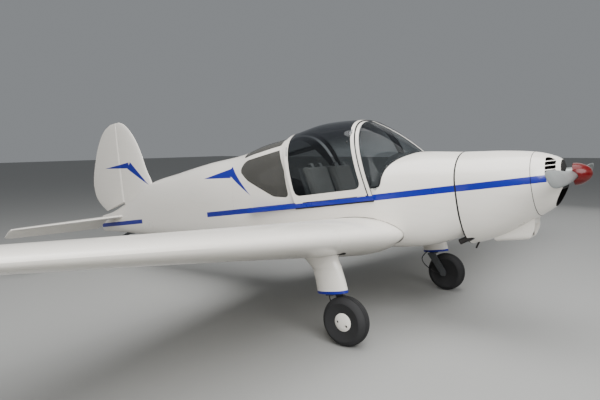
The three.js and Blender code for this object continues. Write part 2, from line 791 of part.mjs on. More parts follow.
const aftShell = (outer, wall) => shellOf(HULL, CABIN_END_X, HOOD_REAR.x + 60, outer, wall);
const windowHole = sideSlab(AFT_WINDOW, 60, 700, 30);
const stripHole = planSlab(AFT_STRIP, 1500, 2100, 25);
const aftHoles = windowHole.add(stripHole);
const aftFrame = aftShell(0, CANOPY_WALL)
  .intersect(aftRegion)
  .subtract(aftHoles)
  .subtract(mirrored(aftHoles));
place('aft_canopy_frame', largest(aftFrame), 'cream');
const aftGlass = aftShell(2, GLASS);
placePair(
  'aft_window',
  largest(aftGlass.intersect(sideSlab(shrunk(AFT_WINDOW, EDGE_SLACK), 60, 700, 30))),
  'glass',
);
placePair(
  'aft_strip_window',
  largest(aftGlass.intersect(planSlab(shrunk(AFT_STRIP, EDGE_SLACK), 1500, 2100, 25))),
  'glass',
);

// Sliding hood: two arches and two sills, with one blown pane over the top.
const hoodShell = (outer, wall) => shellOf(CANOPY, -1250, 100, outer, wall);
const hoodRegion = sideSlab(rakedStrip(HOOD_FRONT, HOOD_REAR, HOOD_BASE_Z, 2100), -700, 700);
const HOOD_SILL_TOP_Z = 1281;
const HOOD_GLASS_FRONT = { x: 13, rake: 0.254 };
const HOOD_GLASS_REAR = { x: -766, rake: 0.19 };
const hoodOpening = (slack) => {
  const [a, b, c, d] = rakedStrip(
    shifted(HOOD_GLASS_FRONT, -slack),
    shifted(HOOD_GLASS_REAR, slack),
    HOOD_SILL_TOP_Z + slack,
    2150,
  );
  return sideSlab([[...a, 85], [...b, 75], [...c, 0], [...d, 0]], -700, 700);
};
const RAIL_SHOES = [
  [-60, 30],
  [-780, -690],
];
const hoodShoes = RAIL_SHOES.map(([x0, x1]) =>
  block([x0, x1], [RAIL_Y - 14, RAIL_Y + 9], [RAIL_TOP_Z + SEAT, HOOD_BASE_Z + 22]),
);
const hoodSide = hoodShoes.reduce((sum, shoe) => sum.add(shoe).add(mirrored(shoe)), hoodShell(0, CANOPY_WALL)
  .intersect(hoodRegion)
  .subtract(hoodOpening(0)));
place('hood_frame', largest(hoodSide), 'cream');
place('hood_glass', largest(hoodShell(2, GLASS).intersect(hoodOpening(EDGE_SLACK))), 'glass');

// Slide rails: a straight bar on each side, webbed to the fuselage behind the cockpit.
const railBar = sideSlab(
  [
    [105, RAIL_TOP_Z - RAIL_HEIGHT, 6],
    [105, RAIL_TOP_Z, 6],
    [-1440, RAIL_TOP_Z, 6],
    [-1440, RAIL_TOP_Z - RAIL_HEIGHT, 6],
  ],
  RAIL_Y - 60,
  RAIL_Y + RAIL_WIDTH / 2,
);
placePair('slide_rail', largest(railBar.subtract(hullGrown)), 'blue');

// Windscreen: an arch on the canopy's section, and a pane curved down to the deck.
const archRear = shifted(HOOD_FRONT, HOOD_SEAM);
const archFront = shifted(archRear, ARCH_WIDTH);
const deckGrown = sectionBody(HULL, DECK_END_X, FIREWALL_X, -SEAT);
const archRegion = sideSlab(rakedStrip(archFront, archRear, RAIL_TOP_Z + SEAT, 2100), -700, 700);
const ARCH_INSET = 10;
const archShell = shellOf(CANOPY, -400, 141, ARCH_INSET, CANOPY_WALL);
place('windscreen_arch', largest(archShell.intersect(archRegion).subtract(deckGrown)), 'cream');

const PANE_BULGE = 50;
const paneAngles = range(7, 173, 14);
const onRakedPlane = (plane, angle, inset) => {
  let point = sectionPoint(plane.x, canopyRow(plane.x), angle, inset);
  for (let i = 0; i < 6; i += 1) {
    const [x] = planePoint(plane, point.z);
    point = sectionPoint(x, canopyRow(x), angle, inset);
  }
  return point;
};
const paneRow = (t, inset) =>
  paneAngles.map((degrees) => {
    const angle = THREE.MathUtils.degToRad(degrees);
    const footX = paneFootX(degrees);
    const foot = sectionPoint(footX, hullRow(footX), angle, inset - SEAT - 2);
    const head = onRakedPlane(shifted(archFront, EDGE_SLACK), angle, inset + ARCH_INSET);
    const outward = vec(0.35, Math.cos(angle), Math.sin(angle)).normalize();
    const middle = foot.clone().add(head).divideScalar(2).addScaledVector(outward, PANE_BULGE);
    return foot.clone().multiplyScalar((1 - t) ** 2)
      .addScaledVector(middle, 2 * t * (1 - t))
      .addScaledVector(head, t ** 2);
  });
const paneSteps = range(0, 1, 4);
const pane = sheet(
  paneSteps.map((t) => paneRow(t, 2)),
  paneSteps.map((t) => paneRow(t, 2 + GLASS)),
);
place('windscreen_pane', largest(pane.subtract(deckGrown)), 'glass');

// Cabin: instrument panel under the deck, two seats on the wing, and two control sticks.
const panelBody = sectionBody(HULL, PANEL_X, PANEL_X + 16, TUB_WALL + SEAT).intersect(
  block([PANEL_X - 1, PANEL_X + 17], [-700, 700], [1180, 1700]),
);
place('instrument_panel', largest(panelBody), 'panel');

const SEAT_Y = [28, 432];
const underHood = sectionBody(CANOPY, -1200, 100, 42);
const seatBase = sideSlab(
  [
    [-150, 930],
    [-150, 1004],
    [-596, 990],
    [-752, 1560],
    [-772, 1556],
    [-628, 930],
  ],
  ...SEAT_Y,
);
placePair('seat_frame', largest(seatBase.subtract(wingUnderHull).intersect(underHood)), 'iron');
const cushion = sideSlab(
  [
    [-156, 1004.5],
    [-150, 1096],
    [-530, 1084],
    [-552, 992],
  ],
  SEAT_Y[0] + 6,
  SEAT_Y[1] - 6,
  24,
);
placePair('seat_cushion', cushion, 'seat');
const backPad = sideSlab(
  [
    [-624.5, 1098],
    [-540, 1084.5],
    [-668, 1590],
    [-753.3, 1568],
  ],
  SEAT_Y[0] + 6,
  SEAT_Y[1] - 6,
  24,
);
placePair('seat_back', largest(backPad.intersect(underHood)), 'seat');

const stickFoot = vec(-40, 236, 950);
const stickHead = vec(-80, 236, 1300);
const stick = rod(stickFoot, stickHead, 11).add(rod(stickHead, vec(-86, 236, 1390), 19, 17));
placePair('control_stick', largest(stick.subtract(wingUnderHull)), 'panel');

// Engine: one plain block on the bulkhead, with its shaft out to the propeller.
const engine = block([FIREWALL_X + SEAT, 1350], [-140, 140], [900, 1260]).add(
  rod(vec(1340, 0, THRUST_Z), vec(PROP_X + 30, 0, THRUST_Z), SHAFT_RADIUS, SHAFT_RADIUS, 32),
);
place('engine_block', engine, 'iron');

// Exhaust: a bent stub out between the cowl's lip and the belly.
const EXHAUST = [vec(960, -128, 905), vec(862, -190, 756), vec(738, -206, 709)];
const exhaustRun = (radius) =>
  rod(EXHAUST[0], EXHAUST[1], radius).add(rod(EXHAUST[1], EXHAUST[2], radius));
const exhaustBore = rod(EXHAUST[1].clone().lerp(EXHAUST[2], 0.4), EXHAUST[2].clone().lerp(EXHAUST[1], -0.1), 20);
const exhaust = exhaustRun(25)
  .subtract(exhaustBore)
  .subtract(block([FIREWALL_X, 1351], [-140 - SEAT, 200], [900 - SEAT, 1300]));
place('exhaust_stub', largest(exhaust), 'soot');

// Cowl: a shell over the engine, and a nose ring with grilles and an intake.
const COWL_WALL = 6;
const cowl = shellOf(COWL, FIREWALL_X, COWL_RING_X - 1, 0, COWL_WALL).subtract(exhaustRun(32));
place('engine_cowl', largest(cowl), 'cream');

const noseOuter = sectionBody(COWL, COWL_RING_X, NOSE_X);
const noseInner = sectionBody(COWL, COWL_RING_X - 1, NOSE_X - COWL_WALL, COWL_WALL);
const intakeCut = sideSlab(
  [
    [NOSE_X + 60, 1112],
    [NOSE_X - 2, 1092],
    [1512, 925],
    [1640, 700],
    [NOSE_X + 60, 700],
  ],
  -400,
  400,
);
const GRILLE = { x: [1506, 1577], lowest: 1188, pitch: 34.5, height: 21, slots: 5 };
const grilleSlots = range(0, GRILLE.slots - 1, GRILLE.slots - 1).map((i) =>
  sideSlab(
    [
      [GRILLE.x[0], GRILLE.lowest + i * GRILLE.pitch],
      [GRILLE.x[1], GRILLE.lowest + i * GRILLE.pitch],
      [GRILLE.x[1], GRILLE.lowest + i * GRILLE.pitch + GRILLE.height],
      [GRILLE.x[0], GRILLE.lowest + i * GRILLE.pitch + GRILLE.height],
    ],
    100,
    400,
  ),
);
const shaftHole = rod(vec(1560, 0, THRUST_Z), vec(1700, 0, THRUST_Z), SHAFT_RADIUS + 14);
const nose = grilleSlots.reduce(
  (sum, slot) => sum.subtract(slot).subtract(mirrored(slot)),
  noseOuter.subtract(noseInner).subtract(intakeCut).subtract(shaftHole),
);
place('nose_ring', largest(nose), 'cream');

// Chin scoop under the cowl, with an open mouth.
const scoopSide = [
  [1005, 682, 20],
  [1300, 684, 40],
  [1348, 778, 20],
  [1370, 960],
  [1005, 960],
];
const scoopFront = new THREE.Shape();
scoopFront.moveTo(-95, 1000);
scoopFront.lineTo(-95, 736);
scoopFront.quadraticCurveTo(-92, 684, -40, 682);
scoopFront.lineTo(40, 682);
scoopFront.quadraticCurveTo(92, 684, 95, 736);
scoopFront.lineTo(95, 1000);
scoopFront.closePath();
const scoopRun = extruded(scoopFront, 500, 6);
scoopRun.rotateX(Math.PI / 2);
scoopRun.rotateZ(Math.PI / 2);
scoopRun.translate(950, 0, 0);
const cowlGrown = sectionBody(COWL, FIREWALL_X, 1500, -SEAT);
const scoop = solid(scoopRun)
  .intersect(sideSlab(scoopSide, -120, 120))
  .subtract(cowlGrown)
  .subtract(block([1300, 1450], [-70, 70], [711, 814]));
place('chin_scoop', largest(scoop), 'cream');

// Propeller: a hub and two broad, twisted blades. Columns: radius, chord, thickness, pitch.
const BLADE = [
  [40, 94, 66, 63],
  [150, 104, 50, 55],
  [290, 126, 34, 43],
  [460, 142, 22, 34],
  [640, 146, 15, 27],
  [780, 138, 11, 23],
  [850, 118, 9, 21],
  [890, 82, 7, 20],
  [PROP_RADIUS, 46, 5, 19],
];
const BLADE_POINTS = 8;
const bladeRing = ([radius, chord, thick, pitch], grow = 0) => {
  const turn = THREE.MathUtils.degToRad(pitch);
  return Array.from({ length: BLADE_POINTS }, (_, i) => {
    const a = (2 * Math.PI * i) / BLADE_POINTS;
    const across = (chord / 2 + grow) * Math.cos(a);
    const through = (thick / 2 + grow) * Math.sin(a);
    return vec(
      through * Math.cos(turn) - across * Math.sin(turn),
      -radius,
      through * Math.sin(turn) + across * Math.cos(turn),
    );
  });
};
const HUB_RADIUS = 60;
const starboardBlade = loft(BLADE.map((row) => bladeRing(row)));
const hubRod = (x0, x1, radius, segments = 18) => rod(vec(x0, 0, 0), vec(x1, 0, 0), radius, radius, segments);
const oppositeBlade = turnAbout(starboardBlade, vec(0, 0, 0), vec(1, 0, 0), Math.PI);
const propeller = starboardBlade
  .add(oppositeBlade)
  .add(hubRod(-46, 46, HUB_RADIUS))
  .subtract(hubRod(-60, 60, SHAFT_RADIUS + 0.8));
const propFrame = (body) => {
  const geometry = geometryOf(body);
  geometry.translate(PROP_X, 0, THRUST_Z);
  return solid(geometry);
};
place('propeller', largest(propFrame(propeller)), 'blade');

// Spinner over the hub: a pointed shell with cut-outs for the blades.
const spinnerProfile = range(0, 1, 5).map((t) => [SPINNER_RADIUS * Math.sqrt(1 - t ** 1.75), SPINNER_LENGTH * t]);
const spinnerLathe = new THREE.LatheGeometry(
  [[0, 0], ...spinnerProfile.slice(0, -1), [0, SPINNER_LENGTH]].map(([r, y]) => new THREE.Vector2(r, y)),
  18,
);
spinnerLathe.rotateZ(-Math.PI / 2);
spinnerLathe.translate(SPINNER_X - PROP_X, 0, 0);
const bladeRoom = loft(BLADE.slice(0, 3).map((row) => bladeRing(row, 2)));
const spinner = solid(spinnerLathe)
  .subtract(hubRod(-46 - SEAT, 46 + SEAT, HUB_RADIUS + SEAT))
  .subtract(hubRod(-80, 60, SHAFT_RADIUS + 8))
  .subtract(bladeRoom)
  .subtract(turnAbout(bladeRoom, vec(0, 0, 0), vec(1, 0, 0), Math.PI));
place('spinner', largest(propFrame(spinner)), 'red');

// Main legs. Columns of a fairing: z, middle x, length, width.
const ovalRing = (z, [middle, lengthX, width], y, count = 24) =>
  Array.from({ length: count }, (_, i) => {
    const a = (2 * Math.PI * i) / count;
    return vec(middle + (lengthX / 2) * Math.cos(a), y + (width / 2) * Math.sin(a), z);
  });
const fairing = (table) => loft(table.map(([z, ...row]) => ovalRing(z, row, WHEEL_Y)));
const LEG_TOP = vec(-232, WHEEL_Y, 830);
const LEG_FOOT = vec(-88, WHEEL_Y, 430);
const LEG_RADIUS = 30;
const wingOverLeg = wingLoft([WING_FLAT_Y, WING_JOIN_Y, 1600], SEAT);
const legRoom = rod(LEG_TOP, LEG_FOOT.clone().lerp(LEG_TOP, -0.1), LEG_RADIUS + SEAT + 0.3);
const rootFairing = fairing([
  [858, -172, 430, 236],
  [772, -155, 372, 190],
  [730, -137, 318, 156],
  [657, -96, 282, 143],
])
  .subtract(wingOverLeg)
  .subtract(legRoom);
placePair('leg_root_fairing', largest(rootFairing), 'cream');
const trouser = fairing([
  [656, -96, 278, 141],
  [550, -78, 288, 141],
  [445, -68, 300, 142],
]).subtract(legRoom);
placePair('leg_fairing', largest(trouser), 'cream');

const axle = vec(WHEEL_RADIUS * Math.sin(PITCH), WHEEL_Y, WHEEL_RADIUS * Math.cos(PITCH));
const ARM_Y = [WHEEL_Y - TYRE_WIDTH / 2 - 40, WHEEL_Y - TYRE_WIDTH / 2 - 14];
const forkPlate = sideSlab(
  [
    [-128, 440, 14],
    [-44, 440, 14],
    [axle.x + 34, axle.z + 12, 30],
    [axle.x + 26, axle.z - 34, 20],
    [axle.x - 26, axle.z - 34, 20],
    [axle.x - 40, axle.z + 6, 30],
  ],
  ...ARM_Y,
);
const crown = block([-124, -54], [ARM_Y[0], WHEEL_Y + 30], [424, 440]);
const leg = rod(LEG_TOP, LEG_FOOT, LEG_RADIUS)
  .subtract(wingOverLeg)
  .add(crown)
  .add(forkPlate)
  .add(rod(vec(axle.x, ARM_Y[0], axle.z), vec(axle.x, WHEEL_Y + 55, axle.z), AXLE_RADIUS, AXLE_RADIUS, 32));
placePair('main_leg', largest(leg), 'steel');

// Wheels. They are placed in the ground's frame, with a flat of the tyre on the ground.
const TYRE_SEGMENTS = 24;
const CROWN_ANGLES = [-78, -45, -15, 15, 45, 78].map(THREE.MathUtils.degToRad);
const tyreProfile = (radius, width, rim) => {
  const half = width / 2;
  const flat = Math.cos(CROWN_ANGLES[2]);
  const crown = CROWN_ANGLES.map((a) => [
    radius - 0.86 * half * (flat - Math.cos(a)),
    1.02 * half * Math.sin(a),
  ]);
  return [[rim, -0.36 * width], ...crown, [rim, 0.36 * width], [rim, -0.36 * width]];
};
const inPlace = (geometry, x, y, z) => {
  geometry.translate(x, y, z);
  return solid(geometry);
};
const flatDown = (segments) => Math.PI / segments;
const tyreRadius = (radius) => radius / Math.cos(Math.PI / TYRE_SEGMENTS);
const mainTyre = inPlace(
  turnedAboutY(tyreProfile(tyreRadius(WHEEL_RADIUS), TYRE_WIDTH, RIM_RADIUS), TYRE_SEGMENTS, flatDown(TYRE_SEGMENTS)),
  0,
  WHEEL_Y,
  WHEEL_RADIUS,
);
placePair('main_tyre', mainTyre, 'tyre', ground);
const hubProfile = [
  [0, 58],
  [AXLE_RADIUS + 0.6, 58],
  [AXLE_RADIUS + 0.6, -50],
  [RIM_RADIUS - 0.6, -44],
  [RIM_RADIUS - 0.6, 52],
  [68, 65],
  [0, 69],
];
const mainHub = inPlace(
  turnedAboutY(hubProfile, TYRE_SEGMENTS, flatDown(TYRE_SEGMENTS)),
  0,
  WHEEL_Y,
  WHEEL_RADIUS,
);
placePair('main_hub', mainHub, 'cream', ground);

// Tail wheel: a sprung leaf from the belly, a swivelling fork, and the wheel.
const bellyAt = (levelX) => {
  const low = hullRow(levelX)[3];
  return vec(
    levelX * Math.cos(PITCH) - low * Math.sin(PITCH),
    0,
    levelX * Math.sin(PITCH) + low * Math.cos(PITCH),
  );
};
const leafRoot = bellyAt(-4240);
const HEAD = { z: [262, 322], radius: 24 };
const LEAF = { half: 27, thick: 16 };
const leafShape = [
  [leafRoot.x + 60, leafRoot.z + 4],
  [leafRoot.x + 60, leafRoot.z - 14],
  [leafRoot.x - 40, leafRoot.z - 26],
  [TAIL_PIVOT_X + 10, 286],
  [TAIL_PIVOT_X + 10, 286 + LEAF.thick],
  [leafRoot.x - 60, leafRoot.z - 4],
  [leafRoot.x - 60, leafRoot.z + 30],
];
const groundHull = (() => {
  const geometry = geometryOf(hullGrown);
  geometry.rotateY(-PITCH);
  return solid(geometry);
})();
const pivotTop = vec(TAIL_PIVOT_X, 0, HEAD.z[1]);
const pivotFoot = vec(TAIL_PIVOT_X, 0, HEAD.z[0]);
const PIN_RADIUS = 12;
const leaf = sideSlab(leafShape, -LEAF.half, LEAF.half)
  .add(rod(pivotFoot, pivotTop, HEAD.radius, HEAD.radius, 24))
  .subtract(groundHull)
  .subtract(rod(vec(TAIL_PIVOT_X, 0, 200), vec(TAIL_PIVOT_X, 0, 400), PIN_RADIUS + 0.6, PIN_RADIUS + 0.6, 24));
place('tail_spring', largest(leaf), 'steel', ground);

const forkHalf = TAIL_TYRE_WIDTH / 2 + 8;
const forkSide = sideSlab(
  [
    [TAIL_PIVOT_X + 30, 254, 8],
    [TAIL_PIVOT_X + 30, 222, 8],
    [TAIL_WHEEL_X + 22, 84, 14],
    [TAIL_WHEEL_X - 18, 84, 14],
    [TAIL_WHEEL_X - 20, 122, 14],
    [TAIL_PIVOT_X - 36, 254, 8],
  ],
  forkHalf,
  forkHalf + 8,
);
const forkCrown = block([TAIL_PIVOT_X - 34, TAIL_PIVOT_X + 28], [-forkHalf - 8, forkHalf + 8], [240, HEAD.z[0] - SEAT]);
const tailAxle = rod(vec(TAIL_WHEEL_X, -forkHalf - 2, 100), vec(TAIL_WHEEL_X, forkHalf + 2, 100), 9, 9, 24);
const tailFork = forkSide
  .add(mirrored(forkSide))
  .add(forkCrown)
  .add(tailAxle)
  .add(rod(vec(TAIL_PIVOT_X, 0, 250), vec(TAIL_PIVOT_X, 0, HEAD.z[1] + 6), PIN_RADIUS, PIN_RADIUS, 24));
place('tail_fork', largest(tailFork), 'steel', ground);

const TAIL_SEGMENTS = 20;
const tailRadius = TAIL_WHEEL_RADIUS / Math.cos(Math.PI / TAIL_SEGMENTS);
const tailTyre = inPlace(
  turnedAboutY(tyreProfile(tailRadius, TAIL_TYRE_WIDTH, 9.6), TAIL_SEGMENTS, flatDown(TAIL_SEGMENTS)),
  TAIL_WHEEL_X,
  0,
  TAIL_WHEEL_RADIUS,
);
place('tail_wheel', tailTyre, 'tyre', ground);

export default aircraft;
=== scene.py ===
"""Looks of a light trainer aircraft that stands on its tail wheel, in metres.

Shapes are made level, with x forward, y to port and z up, and the origin on the ground midway
between the main wheels. stand() then tips them nose-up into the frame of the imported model.
"""

import math

import bmesh
import bpy
from mathutils import Matrix, Vector


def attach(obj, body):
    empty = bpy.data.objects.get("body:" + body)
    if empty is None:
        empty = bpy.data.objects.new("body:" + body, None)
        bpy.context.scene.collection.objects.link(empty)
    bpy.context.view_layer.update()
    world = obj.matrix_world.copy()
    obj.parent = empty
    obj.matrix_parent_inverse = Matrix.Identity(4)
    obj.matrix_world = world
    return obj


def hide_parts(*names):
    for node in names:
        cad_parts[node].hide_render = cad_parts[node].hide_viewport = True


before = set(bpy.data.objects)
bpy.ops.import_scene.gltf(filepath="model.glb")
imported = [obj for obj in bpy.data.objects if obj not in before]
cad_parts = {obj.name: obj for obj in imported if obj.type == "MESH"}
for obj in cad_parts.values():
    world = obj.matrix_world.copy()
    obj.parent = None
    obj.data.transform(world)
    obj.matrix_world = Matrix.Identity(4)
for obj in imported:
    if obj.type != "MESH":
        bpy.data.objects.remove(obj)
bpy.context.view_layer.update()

PITCH = math.radians(8.1)
SHIFT = 1.794
LEVEL = Matrix.Translation((SHIFT, 0, 0)) @ Matrix.Rotation(-PITCH, 4, "Y")
GROUND = Matrix.Translation((SHIFT, 0, 0))
PORT, STARBOARD = 1, -1
SIDES = {"left": PORT, "right": STARBOARD}


# Camera.

EYE = (2.3667 + SHIFT, -4.9117, 1.6735)
HEADING, TILT, ROLL = math.radians(36.584), math.radians(5.704), math.radians(-0.584)
LENS_MM, SENSOR_MM = 33.08, 36
SIGHT_RANGE = 200


def build_camera():
    """The photograph's viewpoint, turned by its heading, downward tilt and roll."""
    run = math.cos(TILT)
    ahead = Vector((-math.sin(HEADING) * run, math.cos(HEADING) * run, -math.sin(TILT)))
    level = Vector((math.cos(HEADING), math.sin(HEADING), 0))
    upright = level.cross(ahead)
    right = level * math.cos(ROLL) + upright * math.sin(ROLL)
    up = upright * math.cos(ROLL) - level * math.sin(ROLL)
    lens = bpy.data.cameras.new("viewpoint")
    lens.lens = LENS_MM
    lens.sensor_width = SENSOR_MM
    lens.clip_end = SIGHT_RANGE
    camera = bpy.data.objects.new("viewpoint", lens)
    turn = Matrix((right, up, -ahead)).transposed().to_4x4()
    camera.matrix_world = Matrix.Translation(EYE) @ turn
    bpy.context.scene.collection.objects.link(camera)
    bpy.context.scene.camera = camera


build_camera()

# Colours, as linear red, green and blue.
CREAM = (0.80, 0.765, 0.70)
BLUE = (0.003, 0.010, 0.27)
RED = (0.10, 0.001, 0.002)
# Near-black: soot, and painted shade in the hollows of the nose.
SOOT_AND_SHADE_BLACK = (0.018, 0.016, 0.015)
STEEL = (0.30, 0.31, 0.31)
RUBBER = (0.016, 0.016, 0.017)
BLADE_GREY = (0.30, 0.32, 0.31)


# Shader maths.

class Value:
    """A shader socket that adds Math nodes when it is used in an expression."""

    def __init__(self, tree, socket):
        self.tree = tree
        self.socket = socket

    def math(self, operation, *others):
        node = self.tree.nodes.new("ShaderNodeMath")
        node.operation = operation
        for slot, value in zip(node.inputs, (self, *others)):
            if isinstance(value, Value):
                self.tree.links.new(value.socket, slot)
            else:
                slot.default_value = value
        return Value(self.tree, node.outputs[0])

    def __add__(self, other):
        return self.math("ADD", other)

    __radd__ = __add__

    def __mul__(self, other):
        return self.math("MULTIPLY", other)

    __rmul__ = __mul__

    def __sub__(self, other):
        return self.math("SUBTRACT", other)

    def __rsub__(self, other):
        return (self * -1) + other

    def __abs__(self):
        return self.math("ABSOLUTE")

    def below(self, limit, soft=0.0006):
        """1 where this is under the limit and 0 where it is over, with a soft edge."""
        return ((self - limit) * (-0.5 / soft) + 0.5).clamp()

    def above(self, limit, soft=0.0006):
        return ((self - limit) * (0.5 / soft) + 0.5).clamp()

    def clamp(self):
        node = self.tree.nodes.new("ShaderNodeClamp")
        self.tree.links.new(self.socket, node.inputs[0])
        return Value(self.tree, node.outputs[0])

    def largest(self, other):
        return self.math("MAXIMUM", other)


class Finish:
    """A material and the few calls that build it."""

    def __init__(self, name):
        self.material = bpy.data.materials.new(name)
        self.material.use_nodes = True
        self.tree = self.material.node_tree
        self.surface = self.tree.nodes["Principled BSDF"]
        self.output = self.tree.nodes["Material Output"]

    def node(self, kind, settings=None, **sockets):
        """Any other node: its settings first, then its sockets by name."""
        made = self.tree.nodes.new("ShaderNode" + kind)
        for key, value in (settings or {}).items():
            setattr(made, key, value)
        for key, value in sockets.items():
            self.feed(made.inputs[key.replace("_", " ")], value)
        return made

    def feed(self, socket, value):
        if isinstance(value, Value):
            self.tree.links.new(value.socket, socket)
        elif isinstance(value, bpy.types.NodeSocket):
            self.tree.links.new(value, socket)
        elif isinstance(value, tuple) and len(value) == 3 and socket.type == "RGBA":
            socket.default_value = (*value, 1)
        else:
            socket.default_value = value

    def set(self, **sockets):
        for key, value in sockets.items():
            self.feed(self.surface.inputs[key.replace("_", " ")], value)

    def value(self, socket):
        return Value(self.tree, socket)

    def place(self):
        """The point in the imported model's frame."""
        return self.node("TexCoord").outputs["Object"]

    def level_place(self):
        """The point's x, y and z in the level frame."""
        turned = self.node(
            "Mapping",
            {"vector_type": "TEXTURE"},
            Vector=self.place(),
            Location=(SHIFT, 0, 0),
            Rotation=(0, -PITCH, 0),
        )
        parts = self.node("SeparateXYZ", Vector=turned.outputs[0])
        return [self.value(parts.outputs[i]) for i in range(3)]

    def noise(self, scale, detail=3.0, roughness=0.5, stretch=(1, 1, 1)):
        where = self.node("Mapping", Vector=self.place(), Scale=stretch)
        made = self.node(
            "TexNoise", Vector=where.outputs[0], Scale=scale, Detail=detail, Roughness=roughness
        )
        return self.value(made.outputs[0])

    def mix(self, factor, first, second):
        """Blends two colours, each a tuple or a socket."""
        made = self.tree.nodes.new("ShaderNodeMix")
        made.data_type = "RGBA"
        self.feed(made.inputs["Factor"], factor)
        self.feed(made.inputs[6], first)
        self.feed(made.inputs[7], second)
        return made.outputs[2]

    def bump(self, height, strength, distance):
        made = self.node("Bump", Strength=strength, Distance=distance, Height=height)
        self.set(Normal=made.outputs[0])


def shade(colour, factor):
    return tuple(channel * factor for channel in colour)


def stroke(x, z, start, end, wide):
    """Mask of a painted stroke that tapers from its start to a point at its end."""
    run = Vector(end) - Vector(start)
    along = run.normalized()
    dx, dz = x - start[0], z - start[1]
    ahead = dx * along[0] + dz * along[1]
    beside = abs(dx * along[1] - dz * along[0])
    edge = beside + ahead * (wide / 2 / run.length)
    return edge.below(wide / 2) * ahead.above(0)


STRIPE_Z = 1.187
STRIPE_HALF = 0.029
STRIPE_RUNS = [(-2.25, 1.515), (-4.88, -3.72)]
DECK_CHEVRON = [((-1.80, 1.63), (-2.307, 1.617), 0.11), ((-1.835, 1.672), (-1.451, 1.347), 0.0875)]
FIN_CHEVRON = [((-4.055, 1.998), (-4.647, 2.021), 0.085), ((-4.055, 1.998), (-3.672, 1.673), 0.116)]
LEG_BAND = (0.4, 0.468)


def paint(name, marks=None, colour=CREAM, specular=0.5, coat=0.35):
    """Gloss paint with faint mottling and streaks of grime, and blue where marks(x, z) is 1."""
    made = Finish(name)
    x, _, z = made.level_place()
    mottle = made.noise(2.2, 5, 0.6)
    fine = made.noise(38, 4, 0.65)
    streaks = made.noise(9, 4, 0.6, (0.35, 1, 3.2))
    base = made.mix(mottle * 0.5, colour, shade(colour, 0.93))
    grime = (streaks * 1.6 - 0.78).clamp() * 0.16 + (fine * 1.5 - 0.9).clamp() * 0.1
    base = made.mix(grime.clamp(), base, (0.42, 0.38, 0.31))
    if marks:
        base = made.mix(marks(x, z), base, made.mix(fine * 0.6, BLUE, shade(BLUE, 0.72)))
    made.set(
        Base_Color=base,
        Roughness=mottle * 0.12 + fine * 0.08 + 0.2,
        Specular_IOR_Level=specular,
        Coat_Weight=coat,
        Coat_Roughness=0.08,
    )
    made.bump(fine * 0.4 + made.noise(3.1, 2) * 0.6, 0.12, 0.004)
    return made.material


def stripe_marks(x, z):
    """The stripe in two runs, and the chevron behind the cabin."""
    level = abs(z - STRIPE_Z).below(STRIPE_HALF)
    runs = [x.above(low) * x.below(high) for low, high in STRIPE_RUNS]
    strokes = [stroke(x, z, *each) for each in DECK_CHEVRON]
    return (level * (runs[0] + runs[1])).largest(strokes[0]).largest(strokes[1])


def fin_marks(x, z):
    strokes = [stroke(x, z, *each) for each in FIN_CHEVRON]
    return strokes[0].largest(strokes[1])


def leg_marks(x, z):
    return z.above(LEG_BAND[0]) * z.below(LEG_BAND[1])


def bare(name, colour, rough, metal, wear=0.5, scale=30, bump=0.1):
    """Metal, rubber or plastic with a worn, slightly uneven surface."""
    made = Finish(name)
    spots = made.noise(scale, 5, 0.65)
    broad = made.noise(scale / 9, 3, 0.5)
    base = made.mix((spots * 1.4 - 0.5).clamp() * wear, colour, shade(colour, 1.9))
    made.set(
        Base_Color=made.mix(broad * 0.5, base, shade(colour, 0.6)),
        Roughness=broad * 0.16 + spots * 0.12 + (rough - 0.14),
        Metallic=metal,
    )
    made.bump(spots, bump, 0.002)
    return made.material


def acrylic(name, tint=0.8, smoke_and_reflection=None, haze_and_reflection=0.0, colour=(0.02, 0.022, 0.026)):
    """Clear canopy sheet: mostly see-through, hazed by age, with a gloss that grows at a slant. Extra
    haze adds a tinted gloss that is partly age haze and partly painted reflection; a band in z darkens
    the sheet towards the top, a smoked tint that is also painted reflection of dark things overhead.
    """
    made = Finish(name)
    clear = made.node("BsdfTransparent", Color=(tint, tint * 1.02, tint * 1.02))
    gloss = made.surface
    made.set(Base_Color=colour, Roughness=0.05, Specular_IOR_Level=0.6)
    slant = made.value(made.node("LayerWeight", Blend=0.35).outputs["Facing"])
    scratches = made.noise(16, 4, 0.6)
    # Extra haze raises the share of tinted gloss: age haze, and a painted reflection on the aft panes.
    share = slant * 0.4 + scratches * 0.06 + (0.04 + haze_and_reflection)
    # Darker towards the top: a smoked tint that also stands as painted reflection of dark things
    # overhead.
    if smoke_and_reflection:
        _, _, z = made.level_place()
        low, high = smoke_and_reflection
        share = share + ((z - low) * (1 / (high - low))).clamp() * 0.62
    both = made.node("MixShader", Fac=share.clamp())
    made.tree.links.new(clear.outputs[0], both.inputs[1])
    made.tree.links.new(gloss.outputs[0], both.inputs[2])
    made.tree.links.new(both.outputs[0], made.output.inputs["Surface"])
    return made.material


def cloth(name, colour):
    """Woven cloth, with bands across two axes for its threads."""
    made = Finish(name)
    threads = []
    for axis in "YZ":
        bands = made.node("TexWave", {"bands_direction": axis}, Vector=made.place(), Scale=190)
        threads.append(made.value(bands.outputs[1]))
    weave, weft = threads
    worn = made.noise(7, 4, 0.6)
    base = made.mix(weave * weft, shade(colour, 0.72), colour)
    made.set(Base_Color=made.mix(worn * 0.5, base, shade(colour, 0.7)), Roughness=0.9, Sheen_Weight=0.25)
    made.bump(weave * 0.5 + weft * 0.5, 0.5, 0.0012)
    return made.material


